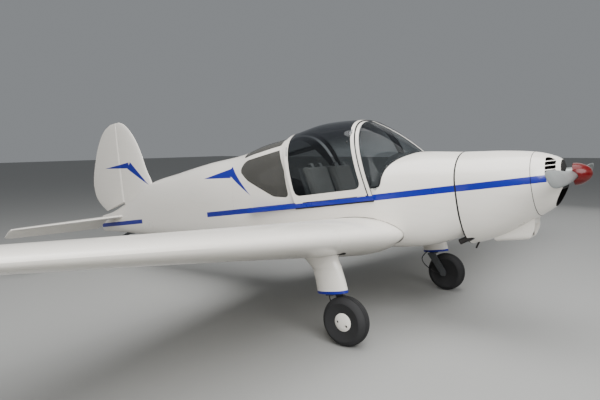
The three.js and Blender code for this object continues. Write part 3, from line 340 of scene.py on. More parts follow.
PAINT = paint("cream_gloss")
FUSELAGE_PAINT = paint("cream_gloss_with_blue_stripe", stripe_marks)
FIN_PAINT = paint("cream_gloss_with_fin_chevron", fin_marks)
LEG_PAINT = paint("cream_gloss_with_leg_band", leg_marks)
BLUE_PAINT = paint("blue_gloss", colour=BLUE)
RED_PAINT = paint("red_gloss", colour=RED, specular=0.25, coat=0.12)
CLEAR = acrylic("clear_acrylic", 0.92)
# The hood's sheet darkens towards its top: smoked tint and painted reflection of dark things overhead.
SMOKED_TOP_PAINTED_REFLECTION = acrylic("smoked_top_acrylic", 0.86, (1.74, 1.97))
# Grey-brown gloss on the aft panes: partly age haze, partly painted reflection.
AFT_GLASS_PAINTED_REFLECTION = acrylic("hazed_aft_acrylic", 0.8, haze_and_reflection=0.24, colour=(0.12, 0.116, 0.105))
# Near-black metal: soot on the exhaust, and painted shade inside the cowl, nose ring and scoop mouth and
# on the leg lugs.
SOOT_AND_PAINTED_SHADE = bare("sooted_metal", SOOT_AND_SHADE_BLACK, 0.7, 0.3)
METAL = bare("satin_steel", STEEL, 0.42, 0.9)
IRON = bare("dull_iron", (0.10, 0.105, 0.11), 0.6, 0.6)
TYRE = bare("dusty_rubber", RUBBER, 0.78, 0.0, 0.35, 60, 0.2)
# Black rubber for seals, joint strips and hoses, and for the painted shadow strip under the rails.
BLACK_SEAL_AND_SHADOW = bare("black_rubber_seal", (0.012, 0.012, 0.013), 0.65, 0.0)
BLADE_PAINT = bare("grey_blade_paint", BLADE_GREY, 0.36, 0.6, 0.12)
BLACK = bare("matt_black_panel", (0.02, 0.021, 0.023), 0.62, 0.0, 0.3, 80)
# Near-black lining: painted shade inside the cabin and on the inner faces of its frames.
LINING_PAINTED_SHADE = bare("cabin_lining_painted_shade", (0.014, 0.015, 0.017), 0.85, 0.0, 0.3, 50)
SEAT_CLOTH = cloth("grey_seat_cloth", (0.16, 0.16, 0.155))
# Pale webbing darkened to mid grey: painted shade in the cabin.
WEBBING_PAINTED_SHADE = cloth("pale_harness_webbing", (0.2, 0.205, 0.21))


# Mesh tools.

def between(start, end, steps):
    return [start + (end - start) * i / steps for i in range(steps + 1)]


def smooth(table):
    """A smooth curve through a table's columns, read at any value of its first column."""
    stations = [row[0] for row in table]
    rows = [row[1:] for row in table]
    secants = [
        [(b - a) / (stations[i + 1] - stations[i]) for a, b in zip(rows[i], rows[i + 1])]
        for i in range(len(rows) - 1)
    ]
    inner = [[(a + b) / 2 for a, b in zip(p, q)] for p, q in zip(secants, secants[1:])]
    slopes = [secants[0], *inner, secants[-1]]

    def read(station):
        i = max(j for j in range(len(rows) - 1) if j == 0 or stations[j] <= station)
        span = stations[i + 1] - stations[i]
        t = (station - stations[i]) / span
        a, b = (1 + 2 * t) * (1 - t) ** 2, t * (1 - t) ** 2
        c, d = t * t * (3 - 2 * t), t * t * (t - 1)
        return [
            a * p + b * span * u + c * q + d * span * v
            for p, q, u, v in zip(rows[i], rows[i + 1], slopes[i], slopes[i + 1])
        ]

    return read


def piece(name, vertices, faces):
    mesh = bpy.data.meshes.new(name)
    mesh.from_pydata([tuple(v) for v in vertices], [], faces)
    shape = bmesh.new()
    shape.from_mesh(mesh)
    bmesh.ops.remove_doubles(shape, verts=shape.verts, dist=1e-6)
    bmesh.ops.recalc_face_normals(shape, faces=shape.faces)
    shape.to_mesh(mesh)
    shape.free()
    made = bpy.data.objects.new(name, mesh)
    bpy.context.scene.collection.objects.link(made)
    return made


def loft(name, rings):
    """A body through rings of equally many points, with flat ends."""
    count = len(rings[0])
    vertices = [point for ring in rings for point in ring]
    faces = []
    for i in range(len(rings) - 1):
        for j in range(count):
            k = (j + 1) % count
            faces.append((i * count + j, i * count + k, (i + 1) * count + k, (i + 1) * count + j))
    last = (len(rings) - 1) * count
    faces += [tuple(range(count))[::-1], tuple(range(last, last + count))]
    return piece(name, vertices, faces)


def slab(name, outline, low, high, axis="y", corner=0.0, arc=6):
    """An outline with rounded corners, extruded along an axis. A side view is given as x and z,
    a plan as x and y, a front view as y and z."""
    rounded = []
    for i, (u, v, *own) in enumerate(outline):
        radius = own[0] if own else corner
        here = Vector((u, v))
        ends = []
        for other in (outline[i - 1], outline[(i + 1) % len(outline)]):
            side = Vector(other[:2]) - here
            ends.append(here + side.normalized() * min(radius, 0.45 * side.length))
        if radius <= 0:
            rounded.append(here)
            continue
        for step in between(0, 1, arc):
            rounded.append(
                ends[0] * (1 - step) ** 2 + here * 2 * step * (1 - step) + ends[1] * step**2
            )
    build = {
        "y": lambda p, depth: (p[0], depth, p[1]),
        "z": lambda p, depth: (p[0], p[1], depth),
        "x": lambda p, depth: (depth, p[0], p[1]),
    }[axis]
    return loft(name, [[build(p, depth) for p in rounded] for depth in (low, high)])


def tube(name, points, radius, count=14):
    """A round bar through points, with radius one number or one for each point."""
    radii = radius if isinstance(radius, (list, tuple)) else [radius] * len(points)
    points = [Vector(p) for p in points]
    rings = []
    side = None
    for i, point in enumerate(points):
        ahead = (points[min(i + 1, len(points) - 1)] - points[max(i - 1, 0)]).normalized()
        if side is None:
            side = ahead.orthogonal().normalized()
        side = (side - ahead * side.dot(ahead)).normalized()
        up = ahead.cross(side)
        rings.append(
            [
                point + (side * math.cos(a) + up * math.sin(a)) * radii[i]
                for a in between(0, math.tau, count)[:-1]
            ]
        )
    return loft(name, rings)


def bend(points, steps=6):
    """A smooth path through points."""
    read = smooth([(i, *p) for i, p in enumerate(points)])
    return [Vector(read(s)) for s in between(0, len(points) - 1, steps * (len(points) - 1))]


def turned(name, profile, segments, axis="y", centre=(0, 0, 0)):
    """A turned body. The profile lists radius and distance along the axis, from end to end."""
    cx, cy, cz = centre
    build = {
        "y": lambda r, d, a: (cx + r * math.cos(a), cy + d, cz + r * math.sin(a)),
        "x": lambda r, d, a: (cx + d, cy + r * math.cos(a), cz + r * math.sin(a)),
    }[axis]
    angles = [math.tau * (i + 0.5) / segments for i in range(segments)]
    rings = [[build(max(r, 1e-5), d, a) for a in angles] for r, d in profile]
    return loft(name, rings)


def settle(shape):
    """Applies a shape's modifiers."""
    graph = bpy.context.evaluated_depsgraph_get()
    made = bpy.data.meshes.new_from_object(shape.evaluated_get(graph))
    shape.modifiers.clear()
    shape.data = made


def carve(shape, *tools, how="DIFFERENCE"):
    """Cuts, joins or crops a shape with others, which are used up."""
    for tool in tools:
        cut = shape.modifiers.new("cut", "BOOLEAN")
        cut.operation = how
        cut.solver = "EXACT"
        cut.object = tool
    settle(shape)
    for tool in tools:
        bpy.data.objects.remove(tool)
    return shape


def mirrored(shape, name):
    made = shape.copy()
    made.data = shape.data.copy()
    made.name = name
    bpy.context.scene.collection.objects.link(made)
    made.data.transform(Matrix.Scale(-1, 4, (0, 1, 0)))
    made.data.flip_normals()
    return made


def soften(shape, width, segments):
    """Rounds the edges of a shape."""
    edge = shape.modifiers.new("edge", "BEVEL")
    edge.width = width
    edge.segments = segments
    edge.angle_limit = math.radians(40)
    settle(shape)


def finish_piece(shape, material, body, nodes=(), stand=LEVEL, crease=32):
    """Stands a shape on its wheels, gives it its finish, and hands it to the frame."""
    shape.data.transform(stand)
    shape.data.materials.clear()
    shape.data.materials.append(material)
    for face in shape.data.polygons:
        face.use_smooth = True
    shape.data.set_sharp_from_angle(angle=math.radians(crease))
    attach(shape, body)
    if nodes:
        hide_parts(*nodes)


def finish_pair(left, material, node, body="airframe", crease=32):
    """Mirrors a port piece and finishes both. Names, nodes and moving bodies end in the side."""
    right = mirrored(left, left.name.replace("left", "right"))
    for shape, side in ((right, "right"), (left, "left")):
        rides_on = body if body == "airframe" else f"{body}_{side}"
        finish_piece(shape, material, rides_on, [f"{node}_{side}"], crease=crease)
    return right, left


def refinish_solid(name, material):
    """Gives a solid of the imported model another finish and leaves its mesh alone."""
    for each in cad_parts[name].material_slots:
        each.material = material


# Sections of the fuselage, canopy and cowl. Columns: station x, half width, waist z, top z,
# bottom z, upper and lower exponent of the rounding.

HULL = smooth([
    (-4.880, 0.028, 1.215, 1.332, 1.100, 1.6, 2.4),
    (-4.600, 0.062, 1.210, 1.372, 1.075, 1.5, 2.6),
    (-4.285, 0.105, 1.200, 1.462, 1.045, 1.5, 2.8),
    (-3.640, 0.185, 1.190, 1.690, 0.975, 1.7, 3.0),
    (-3.000, 0.262, 1.190, 1.762, 0.900, 2.1, 3.0),
    (-2.400, 0.332, 1.190, 1.812, 0.830, 2.4, 3.0),
    (-1.750, 0.408, 1.190, 1.843, 0.755, 2.35, 3.0),
    (-1.450, 0.438, 1.190, 1.896, 0.739, 2.42, 2.95),
    (-1.150, 0.466, 1.190, 1.917, 0.730, 2.5, 2.9),
    (-0.880, 0.488, 1.190, 1.920, 0.727, 2.6, 2.9),
    (-0.500, 0.506, 1.190, 1.930, 0.715, 2.6, 2.9),
    (-0.200, 0.507, 1.190, 1.662, 0.700, 2.2, 3.05),
    (0.050, 0.504, 1.190, 1.590, 0.682, 2.2, 3.2),
    (0.450, 0.428, 1.193, 1.552, 0.684, 2.2, 3.6),
    (0.800, 0.354, 1.200, 1.498, 0.753, 2.0, 3.2),
])
CANOPY = smooth([
    (-1.300, 0.515, 1.190, 1.870, 0.700, 2.8, 2.0),
    (-1.000, 0.522, 1.190, 1.940, 0.700, 2.8, 2.0),
    (-0.800, 0.527, 1.190, 1.974, 0.700, 2.8, 2.0),
    (-0.600, 0.531, 1.190, 1.997, 0.700, 2.73, 2.0),
    (-0.400, 0.533, 1.190, 1.991, 0.700, 2.66, 2.0),
    (-0.230, 0.534, 1.190, 1.972, 0.700, 2.6, 2.0),
    (-0.100, 0.534, 1.190, 1.948, 0.700, 2.56, 2.0),
    (0.060, 0.534, 1.190, 1.925, 0.700, 2.5, 2.0),
    (0.160, 0.533, 1.190, 1.901, 0.700, 2.5, 2.0),
])
COWL = smooth([
    (0.800, 0.356, 1.200, 1.499, 0.668, 2.0, 2.6),
    (0.951, 0.350, 1.200, 1.482, 0.695, 2.0, 2.6),
    (1.166, 0.322, 1.190, 1.456, 0.765, 2.0, 2.5),
    (1.405, 0.268, 1.170, 1.413, 0.878, 2.1, 2.4),
    (1.480, 0.246, 1.165, 1.390, 0.918, 2.2, 2.3),
    (1.540, 0.214, 1.162, 1.364, 0.955, 2.3, 2.2),
    (1.575, 0.182, 1.160, 1.345, 0.985, 2.3, 2.2),
    (1.605, 0.138, 1.158, 1.322, 1.020, 2.3, 2.2),
])

FIREWALL_X = 0.8
DECK_END_X = 0.05
CABIN_END_X = -1.75
TAIL_END_X = -4.88
WAIST_Z = 1.19
TUB_WALL = 0.025
TUB_GAP = 0.004
CANOPY_WALL = 0.012
PANE_THICK = 0.005
SEAT_GAP = 0.0005
PANE_INSET, PANE_SLACK = 0.002, 0.00035
CABIN_REACH = 0.7
PANEL_X = 0.192
HOOD_SEAM = 0.008
ARCH_WIDTH = 0.034
RAIL_TOP_Z = 1.207

# Planes across the canopy that lean aft as they rise: x at the base height, and rake.
HOOD_BASE_Z = 1.215
HOOD_FRONT = (0.050, 0.255)
HOOD_REAR = (-0.795, 0.235)


def section_point(form, x, angle, inset=0.0):
    """Point of a rounded section. The angle is 0 at the port waist and a quarter turn at the top."""
    half, waist, top, low, n_top, n_low = form(x)
    up = math.sin(angle) >= 0
    n = n_top if up else n_low
    height = (top - waist if up else waist - low) - inset
    c, s = math.cos(angle), math.sin(angle)
    return Vector(
        (
            x,
            (half - inset) * math.copysign(abs(c) ** (2 / n), c),
            waist + height * math.copysign(abs(s) ** (2 / n), s),
        )
    )


def section_body(name, form, start, end, steps, inset=0.0, count=96):
    angles = between(0, math.tau, count)[:-1]
    return loft(
        name,
        [[section_point(form, x, a, inset) for a in angles] for x in between(start, end, steps)],
    )


def shell(name, form, start, end, steps, outer, wall, count=96):
    """A hollow stretch of a body, with its outside drawn in by outer."""
    inner = section_body("inner", form, start - 0.001, end + 0.001, steps, outer + wall, count)
    return carve(section_body(name, form, start, end, steps, outer, count), inner)


def across_cabin(name, outline, **edges):
    """A side view, extruded to well past the cabin's sides."""
    return slab(name, outline, -CABIN_REACH, CABIN_REACH, **edges)


def shifted(plane, distance):
    """A raked plane, moved forward."""
    return (plane[0] + distance, plane[1])


def plane_point(plane, z):
    return (plane[0] - plane[1] * (z - HOOD_BASE_Z), z)


def raked_strip(front, rear, low, high):
    """The side view of the strip between two raked planes."""
    corners = ((front, low), (rear, low), (rear, high), (front, high))
    return [plane_point(plane, z) for plane, z in corners]


# Wing sections.

WING_CABIN_Y, WING_FLAT_Y, WING_JOIN_Y, WING_TIP_Y, WING_TIP_ROUND = 0.435, 0.5, 1.38, 5.28, 0.42
WING_NOSE_X, WING_NOSE_Z, WING_SWEEP = 0.305, 0.835, 0.049
DIHEDRAL = math.tan(math.radians(5.9))
CAMBER = 0.02
EDGE_HALF = 0.002

# Each pair is for the wing's root and its tip. Thickness is a share of the chord.
CHORD, THICKNESS, INCIDENCE = (1.95, 0.85), (0.19, 0.085), (3, 1)
THICKNESS_UNDER_SEATS = 0.15

# The chord shrinks over the round tip, and this share of the loss is at its front.
TIP_LOSS_AHEAD = 0.42

# The hinge line of flaps and ailerons, as a share of the chord, and their ends along the span.
WING_HINGE = 0.76
FLAP_SPAN = (0.64, 2.5)
AILERON_SPAN = (2.512, 4.8)

# Room round the flaps, ailerons and rudder, and the size of the slots cut for them.
SURFACE_GAP = 0.006
SLOT_REACH, SLOT_HIGH = 0.7, 0.3

# Sections of the middle wing, which is thinner between the first ones of each side.
PORT_STATIONS = [WING_CABIN_Y, *between(WING_FLAT_Y, WING_JOIN_Y, 6)]
MIDDLE_STATIONS = [-y for y in reversed(PORT_STATIONS)] + PORT_STATIONS


def wing_at(y):
    """What the wing's section needs at a place along the span."""
    out = max(abs(y) - WING_FLAT_Y, 0)
    s = out / (WING_TIP_Y - WING_FLAT_Y)

    def mix(pair):
        return pair[0] + (pair[1] - pair[0]) * s

    full = mix(CHORD)
    tip = max(abs(y) - (WING_TIP_Y - WING_TIP_ROUND), 0) / WING_TIP_ROUND
    chord = full * math.sqrt(1 - tip**2)
    return {
        "y": y,
        "nose": WING_NOSE_X - WING_SWEEP * out - TIP_LOSS_AHEAD * (full - chord),
        "nose_z": WING_NOSE_Z + DIHEDRAL * out,
        "chord": chord,
        "thick": mix(THICKNESS) if abs(y) > WING_CABIN_Y else THICKNESS_UNDER_SEATS,
        "incidence": math.radians(mix(INCIDENCE)),
        "camber": CAMBER,
    }


def aerofoil_half(u, thick):
    """Half the height of an aerofoil at a share u of its chord, as a share of the chord."""
    return 5 * thick * (
        0.2969 * math.sqrt(u) - 0.126 * u - 0.3516 * u**2 + 0.2843 * u**3 - 0.1015 * u**4
    )


def half_thickness(chord, thick, u):
    """Half the height in metres, with a blunt rear edge."""
    return chord * aerofoil_half(u, thick) + EDGE_HALF * u


def camber_at(u, camber, peak=0.4):
    if u < peak:
        return camber / peak**2 * (2 * peak * u - u**2)
    return camber / (1 - peak) ** 2 * (1 - 2 * peak + 2 * peak * u - u**2)


def wing_point(w, u, side, grow=0.0):
    """Point of a section: side is 1 on the upper face, -1 on the lower and 0 on the mean line."""
    along = w["chord"] * u + grow * (2 * u - 1)
    half = half_thickness(w["chord"], w["thick"], u) + grow
    up = w["chord"] * camber_at(u, w["camber"]) + side * half
    c, s = math.cos(w["incidence"]), math.sin(w["incidence"])
    return Vector((w["nose"] - along * c - up * s, w["y"], w["nose_z"] + up * c - along * s))


FINE_CHORD = [(1 - math.cos(a)) / 2 for a in between(0, math.pi, 26)]


def wing_ring(w, grow=0.0):
    upper = [wing_point(w, u, 1 if u else 0, grow) for u in FINE_CHORD]
    lower = [wing_point(w, u, -1, grow) for u in reversed(FINE_CHORD[1:])]
    return upper + lower


def half_circle(radius, tilt=0.0):
    """Side view of a round nose, from its lowest point over the front to its highest."""
    angles = [a - tilt for a in between(math.pi, 0, 12)]
    return [radius * Vector((math.sin(a), 0, math.cos(a))) for a in angles]


def surface_ring(w, hinge):
    """Ring of a moving surface: a round nose on the hinge line, then both faces to the edge."""
    centre = wing_point(w, hinge, 0)
    radius = half_thickness(w["chord"], w["thick"], hinge) - SEAT_GAP
    nose = [centre + offset for offset in half_circle(radius, w["incidence"])]
    aft = between(hinge + 0.02, 1, 8)
    upper = [wing_point(w, u, 1) for u in aft]
    lower = [wing_point(w, u, -1) for u in reversed(aft)]
    return nose + upper + lower


def hinge_point(y):
    return wing_point(wing_at(y), WING_HINGE, 0)


def hinge_line(start, end):
    return (hinge_point(end) - hinge_point(start)).normalized()


def squared(offset, line):
    """The same offset, slid along y into the plane square to a hinge line."""
    return offset - Vector((0, offset.dot(line) / line.y, 0))


def keyhole(radius, reach, high):
    """Side view of the room for a moving surface: a round front and a tall slot behind it."""
    corners = ((0, high), (-reach, high), (-reach, -high), (0, -high))
    return half_circle(radius) + [Vector((x, 0, z)) for x, z in corners]


def between_ends(name, start, end):
    """The space between the two planes square to the hinge line at a surface's ends."""
    line = hinge_line(start, end)
    ahead, behind = 0.2, -SLOT_REACH
    corners = ((behind, -SLOT_HIGH), (ahead, -SLOT_HIGH), (ahead, SLOT_HIGH), (behind, SLOT_HIGH))
    rings = [
        [hinge_point(y) + squared(Vector((x, 0, z)), line) for x, z in corners]
        for y in (start, end)
    ]
    return loft(name, rings)


def cut_room(name, start, end):
    """The space that a moving surface and its nose leave in the fixed one."""
    line = hinge_line(start, end)
    rings = []
    for y in (start - SURFACE_GAP, end + SURFACE_GAP):
        w = wing_at(y)
        radius = half_thickness(w["chord"], w["thick"], WING_HINGE) + SURFACE_GAP
        offsets = keyhole(radius, SLOT_REACH, SLOT_HIGH)
        rings.append([hinge_point(y) + squared(offset, line) for offset in offsets])
    return loft(name, rings)


def wing_body(name, stations, grow=0.0):
    return loft(name, [wing_ring(wing_at(y), grow) for y in stations])


def build_wing():
    tips = [WING_TIP_Y - WING_TIP_ROUND * (1 - math.sin(a)) for a in between(0, 1.5, 12)]
    along = between(WING_JOIN_Y + SEAT_GAP * 3, AILERON_SPAN[1], 12) + tips
    outer = wing_body("outer_wing_skin_left", along)
    carve(outer, cut_room("flap_room", *FLAP_SPAN), cut_room("aileron_room", *AILERON_SPAN))
    middle = wing_body("middle_wing_skin", MIDDLE_STATIONS)
    flap_room = cut_room("flap_room", *FLAP_SPAN)
    carve(middle, flap_room, mirrored(flap_room, "flap_room_right"))
    finish_pair(outer, PAINT, "outer_wing")
    finish_piece(middle, PAINT, "airframe", ["middle_wing"])
    for kind, span in (("flap", FLAP_SPAN), ("aileron", AILERON_SPAN)):
        longer = [span[0] - 0.08, *between(*span, 12), span[1] + 0.08]
        moving = loft(f"{kind}_skin_left", [surface_ring(wing_at(y), WING_HINGE) for y in longer])
        carve(moving, between_ends("ends", *span), how="INTERSECT")
        finish_pair(moving, PAINT, kind, body=kind)


# Tail surfaces.

RUDDER_HINGE_X = -4.285
ELEVATOR_HINGE_X = -4.59
TAILPLANE_Z = 1.29
TAILPLANE_HALF = 1.55
TAILPLANE_NOSE_X, TAILPLANE_SWEEP = -4.257, 0.147
TAILPLANE_CHORD, TAILPLANE_TAPER, TAILPLANE_THICKNESS = 0.64, 0.31, 0.09
TAIL_TIP_ROUND, TAIL_TIP_SHRINK, TAIL_LOSS_AHEAD = 0.15, 0.75, 0.75
ELEVATOR_GAP = 0.13
ELEVATOR_DROOP = math.radians(28)
ELEVATOR_TUBE_RADIUS = 0.013


def tailplane_at(y):
    s = abs(y) / TAILPLANE_HALF
    tip = max(abs(y) - (TAILPLANE_HALF - TAIL_TIP_ROUND), 0) / TAIL_TIP_ROUND
    full = TAILPLANE_CHORD - TAILPLANE_TAPER * s
    chord = full * math.sqrt(1 - TAIL_TIP_SHRINK * tip**2)
    return {
        "y": y,
        "nose": TAILPLANE_NOSE_X - TAILPLANE_SWEEP * abs(y) - TAIL_LOSS_AHEAD * (full - chord),
        "nose_z": TAILPLANE_Z,
        "chord": chord,
        "thick": TAILPLANE_THICKNESS,
        "incidence": 0.0,
        "camber": 0.0,
    }


def elevator_fraction(w):
    """The elevator's hinge line, as a share of the chord."""
    return max((w["nose"] - ELEVATOR_HINGE_X) / w["chord"], 0.0)


def build_tailplane():
    inner, outer = ELEVATOR_GAP, TAILPLANE_HALF - 0.155
    tips = [TAILPLANE_HALF - TAIL_TIP_ROUND * (1 - math.sin(a)) - 0.004 for a in between(0, 1.57, 8)]
    stations = between(-outer, outer, 24)
    fixed = loft(
        "tailplane_skin",
        [wing_ring(tailplane_at(y)) for y in [-t for t in reversed(tips)] + stations[1:-1] + tips],
    )
    rooms = []
    for side in (PORT, STARBOARD):
        rings = []
        for y in (-0.001, outer + 0.3):
            w = tailplane_at(min(y, outer))
            radius = w["chord"] * aerofoil_half(elevator_fraction(w), w["thick"]) + 0.007
            centre = Vector((ELEVATOR_HINGE_X, side * y, TAILPLANE_Z))
            rings.append([centre + offset for offset in keyhole(radius, 0.5, 0.2)])
        rooms.append(loft("elevator_room", rings))
    carve(fixed, *rooms)
    finish_piece(fixed, PAINT, "airframe", ["tailplane"])
    halves = []
    for side in (PORT, STARBOARD):
        rings = []
        for y in between(inner, outer, 14) + tips:
            w = tailplane_at(y)
            w["y"] = side * y
            rings.append(surface_ring(w, elevator_fraction(w)))
        halves.append(loft("elevator_half", rings))
    ends = [(ELEVATOR_HINGE_X, side * (inner + 0.03), TAILPLANE_Z) for side in (STARBOARD, PORT)]
    axle = tube("elevator_tube", ends, ELEVATOR_TUBE_RADIUS)
    elevator = carve(halves[0], halves[1], axle, how="UNION")
    elevator.name = "elevator_skin"
    pivot = Matrix.Translation((ELEVATOR_HINGE_X, 0, TAILPLANE_Z))
    elevator.data.transform(pivot @ Matrix.Rotation(-ELEVATOR_DROOP, 4, "Y") @ pivot.inverted())
    finish_piece(elevator, PAINT, "elevator", ["elevator"])


# Fin and rudder by height. Columns: z, front x, rear x, thickness.
UPRIGHT = smooth([
    (1.300, -3.480, -4.640, 0.118),
    (1.400, -3.520, -4.752, 0.108),
    (1.500, -3.562, -4.880, 0.098),
    (1.640, -3.610, -4.984, 0.088),
    (1.760, -3.650, -5.004, 0.080),
    (1.860, -3.700, -5.003, 0.075),
    (2.180, -3.803, -4.882, 0.060),
    (2.400, -3.914, -4.752, 0.048),
    (2.540, -4.030, -4.622, 0.035),
    (2.610, -4.122, -4.505, 0.024),
    (2.640, -4.205, -4.400, 0.012),
])


def upright_point(z, x, side):
    front, rear, thick = UPRIGHT(z)
    chord = front - rear
    u = min(max((front - x) / chord, 0), 1)
    return Vector((front - chord * u, side * half_thickness(chord, thick / chord, u), z))


def build_fin():
    levels = between(1.3, 2.5, 26) + [2.53, 2.56, 2.59, 2.61, 2.625, 2.634, 2.64]
    fin_rings, rudder_rings = [], []
    for z in levels:
        front, rear, _ = UPRIGHT(z)
        split = min(max(RUDDER_HINGE_X, rear), front)
        nose = upright_point(z, split, PORT).y
        fin_end = split + nose + SURFACE_GAP
        if front - fin_end > 0.01:
            closer_ahead = [1 - math.cos(a) for a in between(0, math.pi / 2, 14)]
            forward = [front + (fin_end - front) * t for t in closer_ahead]
            port = [upright_point(z, x, PORT) for x in forward]
            starboard = [upright_point(z, x, STARBOARD) for x in reversed(forward[1:])]
            fin_rings.append(port + starboard)
        if z > 1.39:
            aft = [split + (rear - split) * t for t in between(0.04, 1, 14)]
            arc = [
                Vector((split + nose * math.sin(a), -nose * math.cos(a), z))
                for a in between(0, math.pi, 10)
            ]
            port = [upright_point(z, x, PORT) for x in aft]
            starboard = [upright_point(z, x, STARBOARD) for x in reversed(aft)]
            rudder_rings.append(arc + port + starboard)
    fin = loft("fin_skin", fin_rings)
    carve(fin, section_body("hull_room", HULL, TAIL_END_X, -3.2, 40, -SEAT_GAP))
    finish_piece(fin, FIN_PAINT, "airframe", ["fin"])
    rudder = loft("rudder_skin", rudder_rings)
    under = slab(
        "under_rudder",
        [(-5.2, 1.2), (-4.1, 1.2), (-4.1, 1.486), (RUDDER_HINGE_X, 1.486), (-5.2, 1.303)],
        -0.3,
        0.3,
    )
    carve(rudder, under)
    finish_piece(rudder, FIN_PAINT, "rudder", ["rudder"])


# Fuselage.

# Foot of the windscreen on the deck. Columns: section angle in degrees, x.
PANE_FOOT = smooth([
    (6, 0.108),
    (12, 0.152),
    (24, 0.170),
    (38, 0.196),
    (55, 0.262),
    (71, 0.350),
    (90, 0.410),
])
FOOT_LIP = 0.015


def pane_foot_x(degrees):
    return PANE_FOOT(min(degrees, 180 - degrees))[0]


def deck_strip(name, rear, front, outer, inner, angles):
    """A layer over the deck between two edges, each given as x at a section angle in degrees."""
    rings = []
    for degrees in angles:
        forward = between(rear(degrees), front(degrees), 3)
        sides = ((outer, forward), (inner, forward[::-1]))
        angle = math.radians(degrees)
        rings.append([section_point(HULL, x, angle, inset) for inset, xs in sides for x in xs])
    return loft(name, rings)


def deck_opening():
    """The open part of the deck under the windscreen, from the instrument panel aft."""

    def front(degrees):
        return min(pane_foot_x(degrees) - FOOT_LIP, PANEL_X - 0.002)

    return deck_strip(
        "deck_opening", lambda d: DECK_END_X - 0.005, front, -0.03, 2 * TUB_WALL, between(10, 170, 80)
    )


def build_fuselage():
    tub = section_body("fuselage_skin", HULL, CABIN_END_X, FIREWALL_X - SEAT_GAP, 60)
    room = section_body("room", HULL, CABIN_END_X - 0.001, FIREWALL_X - 0.012, 40, TUB_WALL)
    behind = CABIN_END_X - 0.1
    opening = across_cabin(
        "opening", [(behind, WAIST_Z), (DECK_END_X, WAIST_Z), (DECK_END_X, 2.3), (behind, 2.3)]
    )
    carve(tub, room, opening, deck_opening(), wing_body("wing_room", MIDDLE_STATIONS, TUB_GAP))
    finish_piece(tub, FUSELAGE_PAINT, "airframe", ["fuselage_tub"])
    # Inner faces of the tub get the near-black lining: painted shade in the cabin.
    line_inside(tub, LINING_PAINTED_SHADE, inside(HULL, 0.004))
    rear = section_body("rear_fuselage_skin", HULL, TAIL_END_X, CABIN_END_X - SEAT_GAP, 70)
    socket = loft("socket", [wing_ring(tailplane_at(y), 0.0006) for y in (-0.3, 0, 0.3)])
    crop = slab("crop", [(-4.594, 1.2), (-4.2, 1.2), (-4.2, 1.4), (-4.594, 1.4)], -0.3, 0.3)
    carve(socket, crop, how="INTERSECT")
    tube_line = [(ELEVATOR_HINGE_X, y, TAILPLANE_Z) for y in (-0.2, 0.2)]
    tube_room = tube("tube_room", tube_line, ELEVATOR_TUBE_RADIUS + SURFACE_GAP)
    carve(rear, socket, tube_room)
    finish_piece(rear, FUSELAGE_PAINT, "airframe", ["rear_fuselage"])
    # The front end of the rear fuselage gets the near-black lining: painted shade behind the cabin.
    line_inside(rear, LINING_PAINTED_SHADE, lambda p: p.x > CABIN_END_X - 0.001)


# Engine end.

COWL_RING_X, NOSE_X, COWL_WALL = 1.405, 1.605, 0.006
THRUST_Z, SHAFT_RADIUS = 1.19, 0.03
EXHAUST = [Vector(p) for p in ((0.960, -0.128, 0.905), (0.862, -0.190, 0.756), (0.738, -0.206, 0.709))]
EXHAUST_RADIUS, EXHAUST_WALL, EXHAUST_ROOM = 0.025, 0.004, 0.009
GRILLE = {"front": 1.577, "rear": 1.506, "lowest": 1.188, "pitch": 0.0345, "height": 0.0285, "slots": 5}
JOINT_GAP, RING_GAP, STRIP_WALL = 0.015, 0.005, 0.004


def inside(form, inset):
    """Tells whether a face's middle lies within a section that is drawn in by an inset."""

    def test(point):
        half, waist, top, low, n_top, n_low = form(point.x)
        up = point.z >= waist
        height = max((top - waist if up else waist - low) - inset, 0.001)
        n = n_top if up else n_low
        return (abs(point.y) / (half - inset)) ** n + (abs(point.z - waist) / height) ** n < 1

    return test


def line_inside(shape, material, test):
    """Gives the faces that pass a test a second finish. It comes after finish_piece."""
    back = LEVEL.inverted()
    shape.data.materials.append(material)
    for face in shape.data.polygons:
        if test(back @ face.center):
            face.material_index = 1


def nose_cuts():
    front, rear = GRILLE["front"], GRILLE["rear"]
    cuts = [
        slab(
            "intake",
            [(1.665, 1.112), (1.603, 1.092), (1.512, 0.925, 0.02), (1.64, 0.7), (1.665, 0.7)],
            -0.4,
            0.4,
        ),
        tube("shaft_hole", [(1.56, 0, THRUST_Z), (1.7, 0, THRUST_Z)], SHAFT_RADIUS + 0.014, 32),
    ]
    for i in range(GRILLE["slots"]):
        low = GRILLE["lowest"] + i * GRILLE["pitch"]
        high = low + GRILLE["height"]
        outline = [(rear, low), (front, low), (front, high), (rear, high)]
        slot = slab("slot", outline, 0.1, 0.4, corner=0.007)
        cuts += [slot, mirrored(slot, "slot_starboard")]
    return cuts


